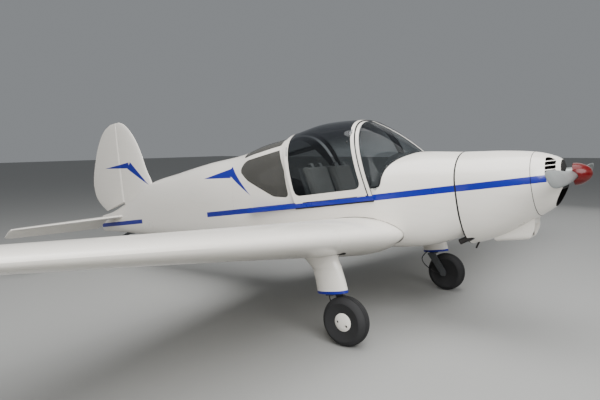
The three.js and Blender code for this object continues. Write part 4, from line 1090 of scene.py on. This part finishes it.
def build_engine_end():
    ends = (FIREWALL_X + JOINT_GAP, COWL_RING_X - RING_GAP)
    cowl = shell("engine_cowl_skin", COWL, *ends, 40, 0, COWL_WALL)
    carve(cowl, tube("exhaust_room", EXHAUST, EXHAUST_RADIUS + EXHAUST_ROOM))
    finish_piece(cowl, FUSELAGE_PAINT, "airframe", ["engine_cowl"])
    # The cowl's inner faces are near-black: painted shade inside the cowl.
    line_inside(cowl, SOOT_AND_PAINTED_SHADE, inside(COWL, COWL_WALL / 2))
    joints = {
        "firewall_joint_strip": (FIREWALL_X, FIREWALL_X + 0.03),
        "nose_joint_strip": (COWL_RING_X - 0.02, COWL_RING_X - SEAT_GAP),
    }
    for name, ends in joints.items():
        strip = shell(name, COWL, *ends, 4, COWL_WALL + SEAT_GAP, STRIP_WALL)
        finish_piece(strip, BLACK_SEAL_AND_SHADOW, "airframe")
    ring = section_body("nose_ring_skin", COWL, COWL_RING_X, NOSE_X, 40)
    hollow = section_body("inner", COWL, COWL_RING_X - 0.001, NOSE_X - COWL_WALL, 24, COWL_WALL)
    carve(ring, hollow, *nose_cuts())
    finish_piece(ring, FUSELAGE_PAINT, "airframe", ["nose_ring"])
    # The nose ring's inner faces are near-black: painted shade behind the grille slots and intake.
    line_inside(ring, SOOT_AND_PAINTED_SHADE, inside(COWL, COWL_WALL / 2))
    refinish_solid("engine_block", IRON)
    scoop = slab(
        "chin_scoop_skin",
        [(-0.095, 1.0), (-0.095, 0.682, 0.055), (0.095, 0.682, 0.055), (0.095, 1.0)],
        1.0,
        1.45,
        axis="x",
        arc=12,
    )
    side = slab(
        "scoop_side",
        [(1.005, 0.682, 0.02), (1.300, 0.684, 0.04), (1.348, 0.778, 0.02), (1.370, 0.96), (1.005, 0.96)],
        -0.12,
        0.12,
        arc=10,
    )
    carve(scoop, side, how="INTERSECT")
    corners = [(-0.07, 0.711), (0.07, 0.711), (0.07, 0.814), (-0.07, 0.814)]
    mouth = slab("mouth", corners, 1.3, 1.45, "x", 0.02)
    carve(scoop, section_body("cowl_room", COWL, FIREWALL_X, 1.5, 30, -SEAT_GAP), mouth)
    finish_piece(scoop, PAINT, "airframe", ["chin_scoop"])
    # The scoop's inner mouth faces are near-black: painted shade in the duct.
    line_inside(scoop, SOOT_AND_PAINTED_SHADE, lambda p: 1.295 < p.x < 1.305 and p.z > 0.712 and abs(p.y) < 0.0695)
    head, corner, mouth = EXHAUST
    elbow = [head, corner.lerp(head, 0.14), corner.lerp(mouth, 0.14), mouth]
    pipe = tube("exhaust_pipe", elbow, EXHAUST_RADIUS, 24)
    bore_line = [corner.lerp(mouth, t) for t in (0.3, 1.1)]
    carve(pipe, tube("bore", bore_line, EXHAUST_RADIUS - EXHAUST_WALL, 24))
    finish_piece(pipe, SOOT_AND_PAINTED_SHADE, "airframe", ["exhaust_stub"])


# Blade by radius. Columns: radius, chord, thickness, pitch in degrees.
BLADE = [
    (0.040, 0.094, 0.066, 63),
    (0.150, 0.104, 0.050, 55),
    (0.290, 0.126, 0.034, 43),
    (0.460, 0.142, 0.022, 34),
    (0.640, 0.146, 0.015, 27),
    (0.780, 0.138, 0.011, 23),
    (0.850, 0.118, 0.009, 21),
    (0.890, 0.082, 0.007, 20),
    (0.900, 0.046, 0.005, 19),
]
PROP_X, HUB_RADIUS = 1.672, 0.06
SPINNER_X, SPINNER_LENGTH, SPINNER_RADIUS = 1.680, 0.132, 0.092


def blade_ring(row, grow=0.0):
    """Oval section of a blade that points to starboard, turned by its pitch."""
    radius, chord, thick, pitch = row
    turn = math.radians(pitch)
    ring = []
    for a in between(0, math.tau, 24)[:-1]:
        across = (chord / 2 + grow) * math.cos(a)
        through = (thick / 2 + grow) * math.sin(a)
        ring.append(
            Vector(
                (
                    through * math.cos(turn) - across * math.sin(turn),
                    -radius,
                    through * math.sin(turn) + across * math.cos(turn),
                )
            )
        )
    return ring


def build_propeller():
    read = smooth(BLADE)
    radii = between(0.04, 0.85, 30) + [0.865, 0.878, 0.888, 0.895, 0.9]
    half_turn = Matrix.Rotation(math.pi, 4, "X")
    seat = LEVEL @ Matrix.Translation((PROP_X, 0, THRUST_Z))
    blades = [loft("blade", [blade_ring((r, *read(r))) for r in radii]) for _ in range(2)]
    blades[1].data.transform(half_turn)
    profile = [(0, -0.046), (HUB_RADIUS, -0.046), (HUB_RADIUS, 0.046), (0, 0.046)]
    hub = turned("propeller_blades", profile, 48, "x")
    carve(hub, *blades, how="UNION")
    room = SHAFT_RADIUS + 0.0008
    shaft = turned("shaft", [(0, -0.06), (room, -0.06), (room, 0.06), (0, 0.06)], 32, "x")
    carve(hub, shaft)
    finish_piece(hub, BLADE_PAINT, "propeller", ["propeller"], stand=seat)
    steps = [1 - (1 - t) ** 1.6 for t in between(0, 1, 22)]
    profile = [(SPINNER_RADIUS * math.sqrt(max(1 - t**1.75, 0)), SPINNER_LENGTH * t) for t in steps]
    cone = turned("spinner_shell", [(0, 0), *profile], 56, "x", (SPINNER_X - PROP_X, 0, 0))
    rooms = [loft("blade_room", [blade_ring(row, 0.003) for row in BLADE[:3]]) for _ in range(2)]
    rooms[1].data.transform(half_turn)
    room = HUB_RADIUS + SEAT_GAP
    inner = turned("hub_room", [(0, -0.047), (room, -0.047), (room, 0.047), (0, 0.047)], 48, "x")
    behind = turned("shaft_room", [(0, -0.08), (0.038, -0.08), (0.038, 0.06), (0, 0.06)], 32, "x")
    carve(cone, inner, behind, *rooms)
    finish_piece(cone, RED_PAINT, "propeller", ["spinner"], stand=seat)


# Canopy.

# Outlines of the aft window, as x and z, and of the strip window over it, as x and y. A third
# number is a corner's own radius.
AFT_WINDOW = [
    (-0.885, 1.277, 0.065),
    (-1.100, 1.305),
    (-1.500, 1.515),
    (-1.648, 1.635, 0.06),
    (-1.590, 1.740, 0.06),
    (-1.052, 1.786, 0.01),
    (-0.938, 1.570),
]
AFT_STRIP = [(-1.096, 0.100), (-1.058, 0.282), (-1.380, 0.272), (-1.645, 0.242), (-1.682, 0.108)]
HOOD_ENDS = (-1.25, 0.1)
HOOD_SILL_TOP_Z = 1.281
HOOD_GLASS_FRONT = (0.013, 0.254)
HOOD_GLASS_REAR = (-0.766, 0.19)
ARCH_REAR = shifted(HOOD_FRONT, HOOD_SEAM)
ARCH_FRONT = shifted(ARCH_REAR, ARCH_WIDTH)
ARCH_INSET = 0.01
PANE_BULGE = 0.05


def both_sides(*shapes):
    """Port shapes with their mirror images."""
    return [*shapes, *(mirrored(shape, shape.name + "_starboard") for shape in shapes)]


def hood_opening(slack=0.0):
    front, rear = shifted(HOOD_GLASS_FRONT, -slack), shifted(HOOD_GLASS_REAR, slack)
    a, b, c, d = raked_strip(front, rear, HOOD_SILL_TOP_Z + slack, 2.15)
    return across_cabin("hood_opening", [(*a, 0.085), (*b, 0.075), (*c, 0), (*d, 0)], arc=14)


def build_hood():
    side = shell("hood_frame_skin", CANOPY, *HOOD_ENDS, 70, 0, CANOPY_WALL, 128)
    region = across_cabin("region", raked_strip(HOOD_FRONT, HOOD_REAR, HOOD_BASE_Z, 2.1))
    carve(side, region, how="INTERSECT")
    shoes = [
        slab("shoe", [(x, 1.2075), (x + 0.09, 1.2075), (x + 0.09, 1.237), (x, 1.237)], 0.506, 0.529)
        for x in (-0.06, -0.78)
    ]
    carve(side, hood_opening())
    carve(side, *both_sides(*shoes), how="UNION")
    finish_piece(side, PAINT, "hood", ["hood_frame"])
    # Inner faces of the hood frame get the near-black lining: painted shade in the cabin.
    line_inside(side, LINING_PAINTED_SHADE, inside(CANOPY, CANOPY_WALL / 2))
    glass = shell("hood_pane", CANOPY, *HOOD_ENDS, 70, PANE_INSET, PANE_THICK, 128)
    carve(glass, hood_opening(PANE_SLACK), how="INTERSECT")
    # The hood's sheet, darker at the top as painted reflection.
    finish_piece(glass, SMOKED_TOP_PAINTED_REFLECTION, "hood", ["hood_glass"], crease=50)


def aft_cuts(slack):
    """Tools that cut the side window and the strip window over it, drawn in by some slack."""

    def drawn_in(points):
        middle = [sum(p[i] for p in points) / len(points) for i in (0, 1)]
        return [
            (
                x + math.copysign(slack, middle[0] - x),
                v + math.copysign(slack, middle[1] - v),
                *radius,
            )
            for x, v, *radius in points
        ]

    return (
        slab("window", drawn_in(AFT_WINDOW), 0.06, 0.7, corner=0.03, arc=10),
        slab("strip", drawn_in(AFT_STRIP), 1.5, 2.1, "z", 0.025),
    )


def build_aft_canopy():
    front = shifted(HOOD_REAR, -HOOD_SEAM)
    outline = raked_strip(front, (CABIN_END_X, 0), WAIST_Z + SEAT_GAP, 2.0)
    region = across_cabin("region", outline)
    ends = (CABIN_END_X, HOOD_REAR[0] + 0.06)
    side = shell("aft_canopy_skin", HULL, *ends, 40, 0, CANOPY_WALL, 128)
    carve(side, region, how="INTERSECT")
    carve(side, *both_sides(*aft_cuts(0)))
    finish_piece(side, FUSELAGE_PAINT, "airframe", ["aft_canopy_frame"])
    # Inner faces of the aft frame get the near-black lining: painted shade in the cabin.
    line_inside(side, LINING_PAINTED_SHADE, inside(HULL, CANOPY_WALL / 2))
    for kind, number in (("window", 0), ("strip_window", 1)):
        pane = shell(f"aft_{kind}_pane_left", HULL, *ends, 40, PANE_INSET, PANE_THICK, 128)
        cuts = aft_cuts(PANE_SLACK)
        carve(pane, cuts[number], how="INTERSECT")
        bpy.data.objects.remove(cuts[1 - number])
        # Aft panes with their grey-brown painted reflection.
        finish_pair(pane, AFT_GLASS_PAINTED_REFLECTION, f"aft_{kind}")


def on_raked_plane(plane, angle, inset):
    """Where the canopy's section at an angle meets a raked plane, found in a few steps."""
    point = section_point(CANOPY, plane[0], angle, inset)
    for _ in range(6):
        point = section_point(CANOPY, plane_point(plane, point.z)[0], angle, inset)
    return point


def pane_point(degrees, t, inset):
    """Point of the windscreen: t is 0 at its foot on the deck and 1 at the arch."""
    angle = math.radians(degrees)
    foot = section_point(HULL, pane_foot_x(degrees), angle, inset - SEAT_GAP - PANE_INSET)
    head = on_raked_plane(shifted(ARCH_FRONT, PANE_SLACK), angle, inset + ARCH_INSET)
    outward = Vector((0.35, math.cos(angle), math.sin(angle))).normalized()
    middle = (foot + head) / 2 + outward * PANE_BULGE
    return foot * (1 - t) ** 2 + middle * 2 * t * (1 - t) + head * t**2


def on_deck():
    return section_body("deck", HULL, DECK_END_X, FIREWALL_X, 30, -SEAT_GAP)


def build_windscreen():
    rings = []
    for t in between(0, 1, 18):
        outer, inner = (
            [pane_point(d, t, inset) for d in between(7, 173, 96)]
            for inset in (PANE_INSET, PANE_INSET + PANE_THICK)
        )
        rings.append(outer + inner[::-1])
    pane = loft("windscreen_pane_sheet", rings)
    carve(pane, on_deck())
    finish_piece(pane, CLEAR, "airframe", ["windscreen_pane"], crease=60)
    dark_strip = deck_strip(
        "windscreen_foot_seal",
        lambda d: pane_foot_x(d) - FOOT_LIP,
        lambda d: pane_foot_x(d) + 0.004,
        -0.002,
        0.0005,
        between(11, 169, 96),
    )
    finish_piece(dark_strip, BLACK_SEAL_AND_SHADOW, "airframe")
    centre = [
        [
            pane_point(90, t, inset) + Vector((0, y, 0))
            for y, inset in ((-0.007, 0.0), (0.007, 0.0), (0.007, 0.0018), (-0.007, 0.0018))
        ]
        for t in between(0, 1, 20)
    ]
    finish_piece(loft("windscreen_centre_strip", centre), PAINT, "airframe")
    coaming = deck_strip(
        "deck_coaming",
        lambda d: PANEL_X - 0.022,
        lambda d: pane_foot_x(d) - FOOT_LIP,
        -0.004,
        0.001,
        between(44, 136, 48),
    )
    finish_piece(coaming, BLACK, "airframe")
    arch = shell("windscreen_arch_skin", CANOPY, -0.4, 0.141, 40, ARCH_INSET, CANOPY_WALL, 128)
    outline = raked_strip(ARCH_FRONT, ARCH_REAR, RAIL_TOP_Z + SEAT_GAP, 2.1)
    region = across_cabin("region", outline)
    carve(arch, region, how="INTERSECT")
    carve(arch, on_deck())
    finish_piece(arch, PAINT, "airframe", ["windscreen_arch"])
    # Inner faces of the arch get the near-black lining: painted shade in the cabin.
    line_inside(arch, LINING_PAINTED_SHADE, inside(CANOPY, ARCH_INSET + CANOPY_WALL / 2))


def build_rails():
    hull = section_body("hull_room", HULL, TAIL_END_X, FIREWALL_X, 60, -SEAT_GAP)
    rail = slab(
        "slide_rail_bar_left",
        [(0.105, 1.165), (0.105, RAIL_TOP_Z), (-1.44, RAIL_TOP_Z), (-1.44, 1.165)],
        0.46,
        0.532,
        corner=0.006,
    )
    carve(rail, hull)
    finish_pair(rail, BLUE_PAINT, "slide_rail")


# Cabin.

SEAT_MIDDLE_Y = 0.23
SEAT_INNER_Y, SEAT_OUTER_Y = 0.028, 0.432
PAD_INNER_Y, PAD_OUTER_Y = 0.046, 0.414


def padded_slab(name, outline, low, high):
    """A cushion of cloth that is blown up a little and stays within its outline."""
    pad = slab(name, outline, low, high, corner=0.03)
    soften(pad, 0.02, 3)
    remesh = pad.modifiers.new("voxels", "REMESH")
    remesh.mode = "VOXEL"
    remesh.voxel_size = 0.006
    settle(pad)
    swell(pad)
    return pad


def swell(pad, pressure=4.0, reach=0.012):
    """Blows a pad up as cloth, with no point moved by more than the reach."""
    start = [v.co.copy() for v in pad.data.vertices]
    cloth = pad.modifiers.new("cloth", "CLOTH")
    cloth.settings.use_pressure = True
    cloth.settings.uniform_pressure_force = pressure
    cloth.settings.effector_weights.gravity = 0
    for step in range(1, 21):
        bpy.context.scene.frame_set(step)
    settle(pad)
    for vertex, before in zip(pad.data.vertices, start):
        move = vertex.co - before
        if move.length > reach:
            vertex.co = before + move.normalized() * reach
    bpy.context.scene.frame_set(1)
    pad.modifiers.new("smooth", "SUBSURF").levels = 1
    settle(pad)


def under_hood():
    """The cabin's room, drawn in from the hood."""
    return section_body("under_hood", CANOPY, -1.2, 0.1, 40, 0.042)


def build_seats():
    shell_outline = [
        (-0.15, 0.93),
        (-0.15, 1.004),
        (-0.596, 0.99),
        (-0.752, 1.56),
        (-0.772, 1.556),
        (-0.628, 0.93),
    ]
    base = slab("seat_shell_left", shell_outline, SEAT_INNER_Y, SEAT_OUTER_Y)
    carve(base, wing_body("wing_room", MIDDLE_STATIONS, SEAT_GAP))
    carve(base, under_hood(), how="INTERSECT")
    finish_pair(base, IRON, "seat_frame")
    cushion_outline = [(-0.164, 1.016), (-0.160, 1.084), (-0.524, 1.072), (-0.542, 1.004)]
    back_outline = [(-0.62, 1.106), (-0.552, 1.096), (-0.676, 1.572), (-0.745, 1.556)]
    cushion = padded_slab("seat_pad_left", cushion_outline, PAD_INNER_Y, PAD_OUTER_Y)
    back = padded_slab("seat_back_pad_left", back_outline, PAD_INNER_Y, PAD_OUTER_Y)
    carve(back, under_hood(), how="INTERSECT")
    for shape, node in ((cushion, "seat_cushion"), (back, "seat_back")):
        for pad in finish_pair(shape, SEAT_CLOTH, node, crease=60):
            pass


def strap(name, points, wide=0.046, thick=0.003):
    """A flat strap through points, lying across y."""
    path = bend(points)
    rings = []
    for i, point in enumerate(path):
        ahead = (path[min(i + 1, len(path) - 1)] - path[max(i - 1, 0)]).normalized()
        across = Vector((0, 1, 0)) - ahead * ahead.y
        across.normalize()
        up = ahead.cross(across) * (thick / 2)
        across *= wide / 2
        low, high = point - up, point + up
        rings.append([low - across, low + across, high + across, high - across])
    return loft(name, rings)


DIAL_RADIUS = 0.04
STICK_Y = 0.236


def build_cabin():
    back = PANEL_X + 0.016
    panel = section_body("instrument_panel_face", HULL, PANEL_X, back, 2, TUB_WALL + SEAT_GAP)
    crop = across_cabin("crop", [(0, 1.18), (back, 1.18), (back, 1.7), (0, 1.7)])
    carve(panel, crop, how="INTERSECT")
    finish_piece(panel, BLACK, "airframe", ["instrument_panel"])
    outer, inner = DIAL_RADIUS, DIAL_RADIUS - 0.005
    rim_profile = [(outer, 0), (outer, -0.006), (inner, -0.006), (inner, -0.002)]
    face_profile = [(inner, -0.0005), (inner, -0.003)]
    rims, faces = [], []
    for y in between(-0.3, 0.3, 6):
        for z in (1.42, 1.32):
            rims.append(turned("rim", rim_profile, 24, "x", (PANEL_X, y, z)))
            faces.append(turned("face", face_profile, 24, "x", (PANEL_X, y, z)))
    for name, group, look in (("dial_rims", rims, METAL), ("dial_faces", faces, BLACK)):
        finish_piece(joined(name, group), look, "airframe")
    stick_grip = [(-0.0795, 1.2995), (-0.081, 1.315), (-0.083, 1.35), (-0.085, 1.38), (-0.086, 1.39)]
    for side, sign in SIDES.items():
        y = STICK_Y * sign
        stick = tube(f"stick_tube_{side}", [(-0.04, y, 0.95), (-0.07, y, 1.22), (-0.08, y, 1.3)], 0.011)
        carve(stick, wing_body("wing_room", MIDDLE_STATIONS, SEAT_GAP))
        grip = tube(
            f"stick_grip_{side}",
            [(x, y, z) for x, z in stick_grip],
            [0.014, 0.019, 0.0175, 0.018, 0.012],
            20,
        )
        carve(stick, grip, how="UNION")
        finish_piece(stick, BLACK, "airframe", [f"control_stick_{side}"])


def joined(name, shapes):
    """Puts several meshes into one, with no cutting."""
    whole = bmesh.new()
    for shape in shapes:
        whole.from_mesh(shape.data)
        bpy.data.objects.remove(shape)
    mesh = bpy.data.meshes.new(name)
    whole.to_mesh(mesh)
    whole.free()
    made = bpy.data.objects.new(name, mesh)
    bpy.context.scene.collection.objects.link(made)
    return made


# Small fittings.

def box(name, x, y, z):
    """A box between two values on each axis."""
    return slab(name, [(x[0], z[0]), (x[1], z[0]), (x[1], z[1]), (x[0], z[1])], min(y), max(y))


def on_canopy(x, degrees, out):
    return section_point(CANOPY, x, math.radians(degrees), -out)


def build_fittings():
    latch = tube("hood_latch_bar", [on_canopy(-0.133, d, 0.006) for d in (125, 129, 133)], 0.008, 12)
    foot = tube("latch_foot", [on_canopy(-0.133, 129, 0), on_canopy(-0.133, 129, 0.012)], 0.014, 16)
    carve(latch, foot, how="UNION")
    finish_piece(latch, METAL, "hood")
    stem = [on_canopy(-0.147, 141, out) for out in (0, 0.008, 0.014, 0.02, 0.024)]
    knob = tube("hood_knob", stem, [0.005, 0.006, 0.011, 0.01, 0.004], 18)
    finish_piece(knob, BLACK, "hood")
    places = ((-0.898, 135), (-0.886, 140), (-0.874, 146))
    plate = tube("hood_catch_plate", [on_canopy(x, d, 0.0015) for x, d in places], 0.006, 10)
    finish_piece(plate, METAL, "hood")
    drain_line = [(0.895, -0.1, 0.73), (0.87, -0.1, 0.687), (0.84, -0.1, 0.635)]
    drain = tube("cowl_drain_pipe", drain_line, 0.008, 14)
    finish_piece(drain, SOOT_AND_PAINTED_SHADE, "airframe")
    hose_line = [
        (-0.12, 0.985, 0.47),
        (-0.19, 0.972, 0.4),
        (-0.18, 0.97, 0.33),
        (-0.08, 0.97, 0.235),
        (0, 0.97, 0.215),
    ]
    strap_line = [(-0.72, 1.583), (-0.675, 1.578), (-0.608, 1.33), (-0.547, 1.115), (-0.46, 1.094)]
    for side, sign in SIDES.items():
        # A black strip under each rail: painted shadow beneath the raised rail.
        dark_strip = box(f"rail_seal_{side}", (-0.8, 0.095), (0.44 * sign, 0.512 * sign), (1.15, 1.1655))
        carve(dark_strip, section_body("hull_room", HULL, CABIN_END_X, FIREWALL_X, 30, -SEAT_GAP))
        finish_piece(dark_strip, BLACK_SEAL_AND_SHADOW, "airframe")
        # The lug is near-black: painted shade under the wing.
        lug = box(f"leg_lug_{side}", (0.028, 0.098), (1.08 * sign, 1.112 * sign), (0.764, 0.83))
        carve(lug, wing_body("wing_room", (0.9 * sign, 1.3 * sign), SEAT_GAP))
        finish_piece(lug, SOOT_AND_PAINTED_SHADE, "airframe")
        hose = tube(f"brake_hose_{side}", bend([(x, y * sign, z) for x, y, z in hose_line]), 0.005, 10)
        finish_piece(hose, BLACK_SEAL_AND_SHADOW, "airframe")
        straps = []
        for offset in (-0.075, 0.075):
            y = sign * SEAT_MIDDLE_Y + offset
            straps.append(strap("strap", [(x, y, z) for x, z in strap_line]))
        # Straps in the darkened webbing: painted shade in the cabin.
        finish_piece(joined(f"harness_straps_{side}", straps), WEBBING_PAINTED_SHADE, "airframe")


# Landing gear.

WHEEL_Y, WHEEL_RADIUS, TYRE_WIDTH, RIM_RADIUS = 1.095, 0.21, 0.15, 0.086
HUB_HOLE_RING = 0.046
LEG_LINE = [(-0.232, WHEEL_Y, 0.83), (-0.0736, WHEEL_Y, 0.39)]
LEG_ROOM_RADIUS = 0.0308
TAIL_WHEEL_X, TAIL_WHEEL_RADIUS, TAIL_TYRE_WIDTH = -4.75, 0.1, 0.058

# Fairings by height, and their lowest and highest z. Columns: z, middle x, length, width.
ROOT_FAIRING = smooth([
    (0.657, -0.096, 0.282, 0.143),
    (0.730, -0.137, 0.318, 0.156),
    (0.772, -0.155, 0.372, 0.190),
    (0.858, -0.172, 0.430, 0.236),
])
LEG_FAIRING = smooth([
    (0.445, -0.068, 0.300, 0.142),
    (0.550, -0.078, 0.288, 0.141),
    (0.656, -0.096, 0.278, 0.141),
])
ROOT_FAIRING_ENDS, LEG_FAIRING_ENDS = (0.657, 0.858), (0.445, 0.656)


def fairing_body(name, form, low, high, steps):
    """An oval fairing round the port leg."""
    rings = []
    for z in between(low, high, steps):
        middle, length, width = form(z)
        rings.append(
            [
                Vector((middle + length / 2 * math.cos(a), WHEEL_Y + width / 2 * math.sin(a), z))
                for a in between(0, math.tau, 64)[:-1]
            ]
        )
    return loft(name, rings)


def tyre_profile(radius, width, rim, grooves):
    """Round tyre section with flat-bottomed grooves round its crown, from one bead to the other."""
    half = width / 2
    flat = math.cos(math.radians(15))

    def at(degrees, deep=0.0):
        a = math.radians(degrees)
        low = 0.86 * half * max(flat - math.cos(a), 0)
        return (radius - low - deep, 1.02 * half * math.sin(a) * (1 - deep / half))

    points = [(rim, -0.36 * width), at(-78), at(-62), at(-45)]
    for g in grooves:
        points += [at(g - 5), at(g - 4, 0.004), at(g + 4, 0.004), at(g + 5)]
    points += [at(45), at(62), at(78), (rim, 0.36 * width)]
    return points


def build_wheels():
    for side, sign in SIDES.items():
        root = fairing_body(f"root_fairing_skin_{side}", ROOT_FAIRING, *ROOT_FAIRING_ENDS, 16)
        carve(root, wing_body("wing_room", (WING_FLAT_Y, WING_JOIN_Y, 1.6), SEAT_GAP))
        leg = fairing_body(f"leg_fairing_skin_{side}", LEG_FAIRING, *LEG_FAIRING_ENDS, 12)
        for shape, node in ((root, "leg_root_fairing"), (leg, "leg_fairing")):
            carve(shape, tube("leg_room", LEG_LINE, LEG_ROOM_RADIUS, 24))
            if sign == STARBOARD:
                shape.data.transform(Matrix.Scale(-1, 4, (0, 1, 0)))
                shape.data.flip_normals()
            finish_piece(shape, LEG_PAINT, "airframe", [f"{node}_{side}"])
        refinish_solid(f"main_leg_{side}", IRON)
        profile = tyre_profile(WHEEL_RADIUS, TYRE_WIDTH, RIM_RADIUS, (-24, -8, 8, 24))
        tyre = turned(f"main_tyre_rubber_{side}", profile, 48, "y", (0, sign * WHEEL_Y, WHEEL_RADIUS))
        finish_piece(tyre, TYRE, f"wheel_{side}", [f"main_tyre_{side}"], stand=GROUND)
        hub_profile = [
            (0.0166, -0.05),
            (RIM_RADIUS - 0.0006, -0.044),
            (RIM_RADIUS - 0.0006, 0.048),
            (0.080, 0.052),
            (0.070, 0.0585),
            (0.050, 0.0645),
            (0.025, 0.068),
            (0, 0.069),
        ]
        hub = turned(f"main_hub_dome_{side}", [(r, d * sign) for r, d in hub_profile], 64, "y")
        for angle in (180, -35):
            a = math.radians(angle)
            hole = (HUB_HOLE_RING * math.cos(a), 0, HUB_HOLE_RING * math.sin(a))
            carve(hub, turned("hole", [(0.012, sign * 0.03), (0.012, sign * 0.1)], 20, "y", hole))
        hub.data.transform(Matrix.Translation((0, sign * WHEEL_Y, WHEEL_RADIUS)))
        finish_piece(hub, PAINT, f"wheel_{side}", [f"main_hub_{side}"], stand=GROUND)
    profile = tyre_profile(TAIL_WHEEL_RADIUS, TAIL_TYRE_WIDTH, 0.05, (0,))
    rubber = turned("tail_tyre_rubber", profile, 36, "y", (TAIL_WHEEL_X, 0, TAIL_WHEEL_RADIUS))
    finish_piece(rubber, TYRE, "tail_wheel", ["tail_wheel"], stand=GROUND)
    half_rim = [(0.0096, 0.016), (0.03, 0.02), (0.0495, 0.0205)]
    rim = [(r, -d) for r, d in half_rim] + half_rim[::-1]
    disc = turned("tail_wheel_rim", rim, 36, "y", (TAIL_WHEEL_X, 0, TAIL_WHEEL_RADIUS))
    finish_piece(disc, PAINT, "tail_wheel", stand=GROUND)
    for name in ("tail_spring", "tail_fork"):
        refinish_solid(name, IRON)


build_fuselage()
build_wing()
build_tailplane()
build_fin()
build_engine_end()
build_propeller()
build_hood()
build_aft_canopy()
build_windscreen()
build_rails()
build_seats()
build_cabin()
build_wheels()
build_fittings()


# Floor and light.

FLOOR_HALF = 60

# Soft round lamps. Columns: name, place, aim, width, power.
LAMPS = [
    ("key", (7.5, -6.0, 6.5), (1.2, 0, 1.0), 8.0, 1500),
    ("top", (1.5, -1.0, 8.0), (1.0, 0, 1.0), 8.0, 800),
    ("fill", (-6.0, -8.0, 5.0), (-1.5, 0, 1.0), 8.0, 70),
    ("far", (2.0, 9.0, 5.0), (0.0, 0, 1.2), 9.0, 160),
]


def build_stage():
    floor_finish = Finish("pale_floor")
    floor_finish.set(Base_Color=(0.30, 0.30, 0.29), Roughness=0.6)
    corners = [(x * FLOOR_HALF, y * FLOOR_HALF, 0) for x, y in ((-1, -1), (1, -1), (1, 1), (-1, 1))]
    floor = piece("floor", corners, [(0, 1, 2, 3)])
    floor.data.materials.append(floor_finish.material)
    world = bpy.data.worlds.new("soft_sky")
    world.use_nodes = True
    sky = world.node_tree.nodes["Background"].inputs
    sky["Color"].default_value = (0.82, 0.86, 0.9, 1)
    sky["Strength"].default_value = 0.3
    bpy.context.scene.world = world
    for name, where, aim, size, power in LAMPS:
        lamp = bpy.data.lights.new(name, "AREA")
        lamp.shape = "DISK"
        lamp.size = size
        lamp.energy = power
        holder = bpy.data.objects.new(name, lamp)
        holder.location = where
        holder.rotation_euler = (Vector(where) - Vector(aim)).to_track_quat("Z", "Y").to_euler()
        bpy.context.scene.collection.objects.link(holder)


build_stage()
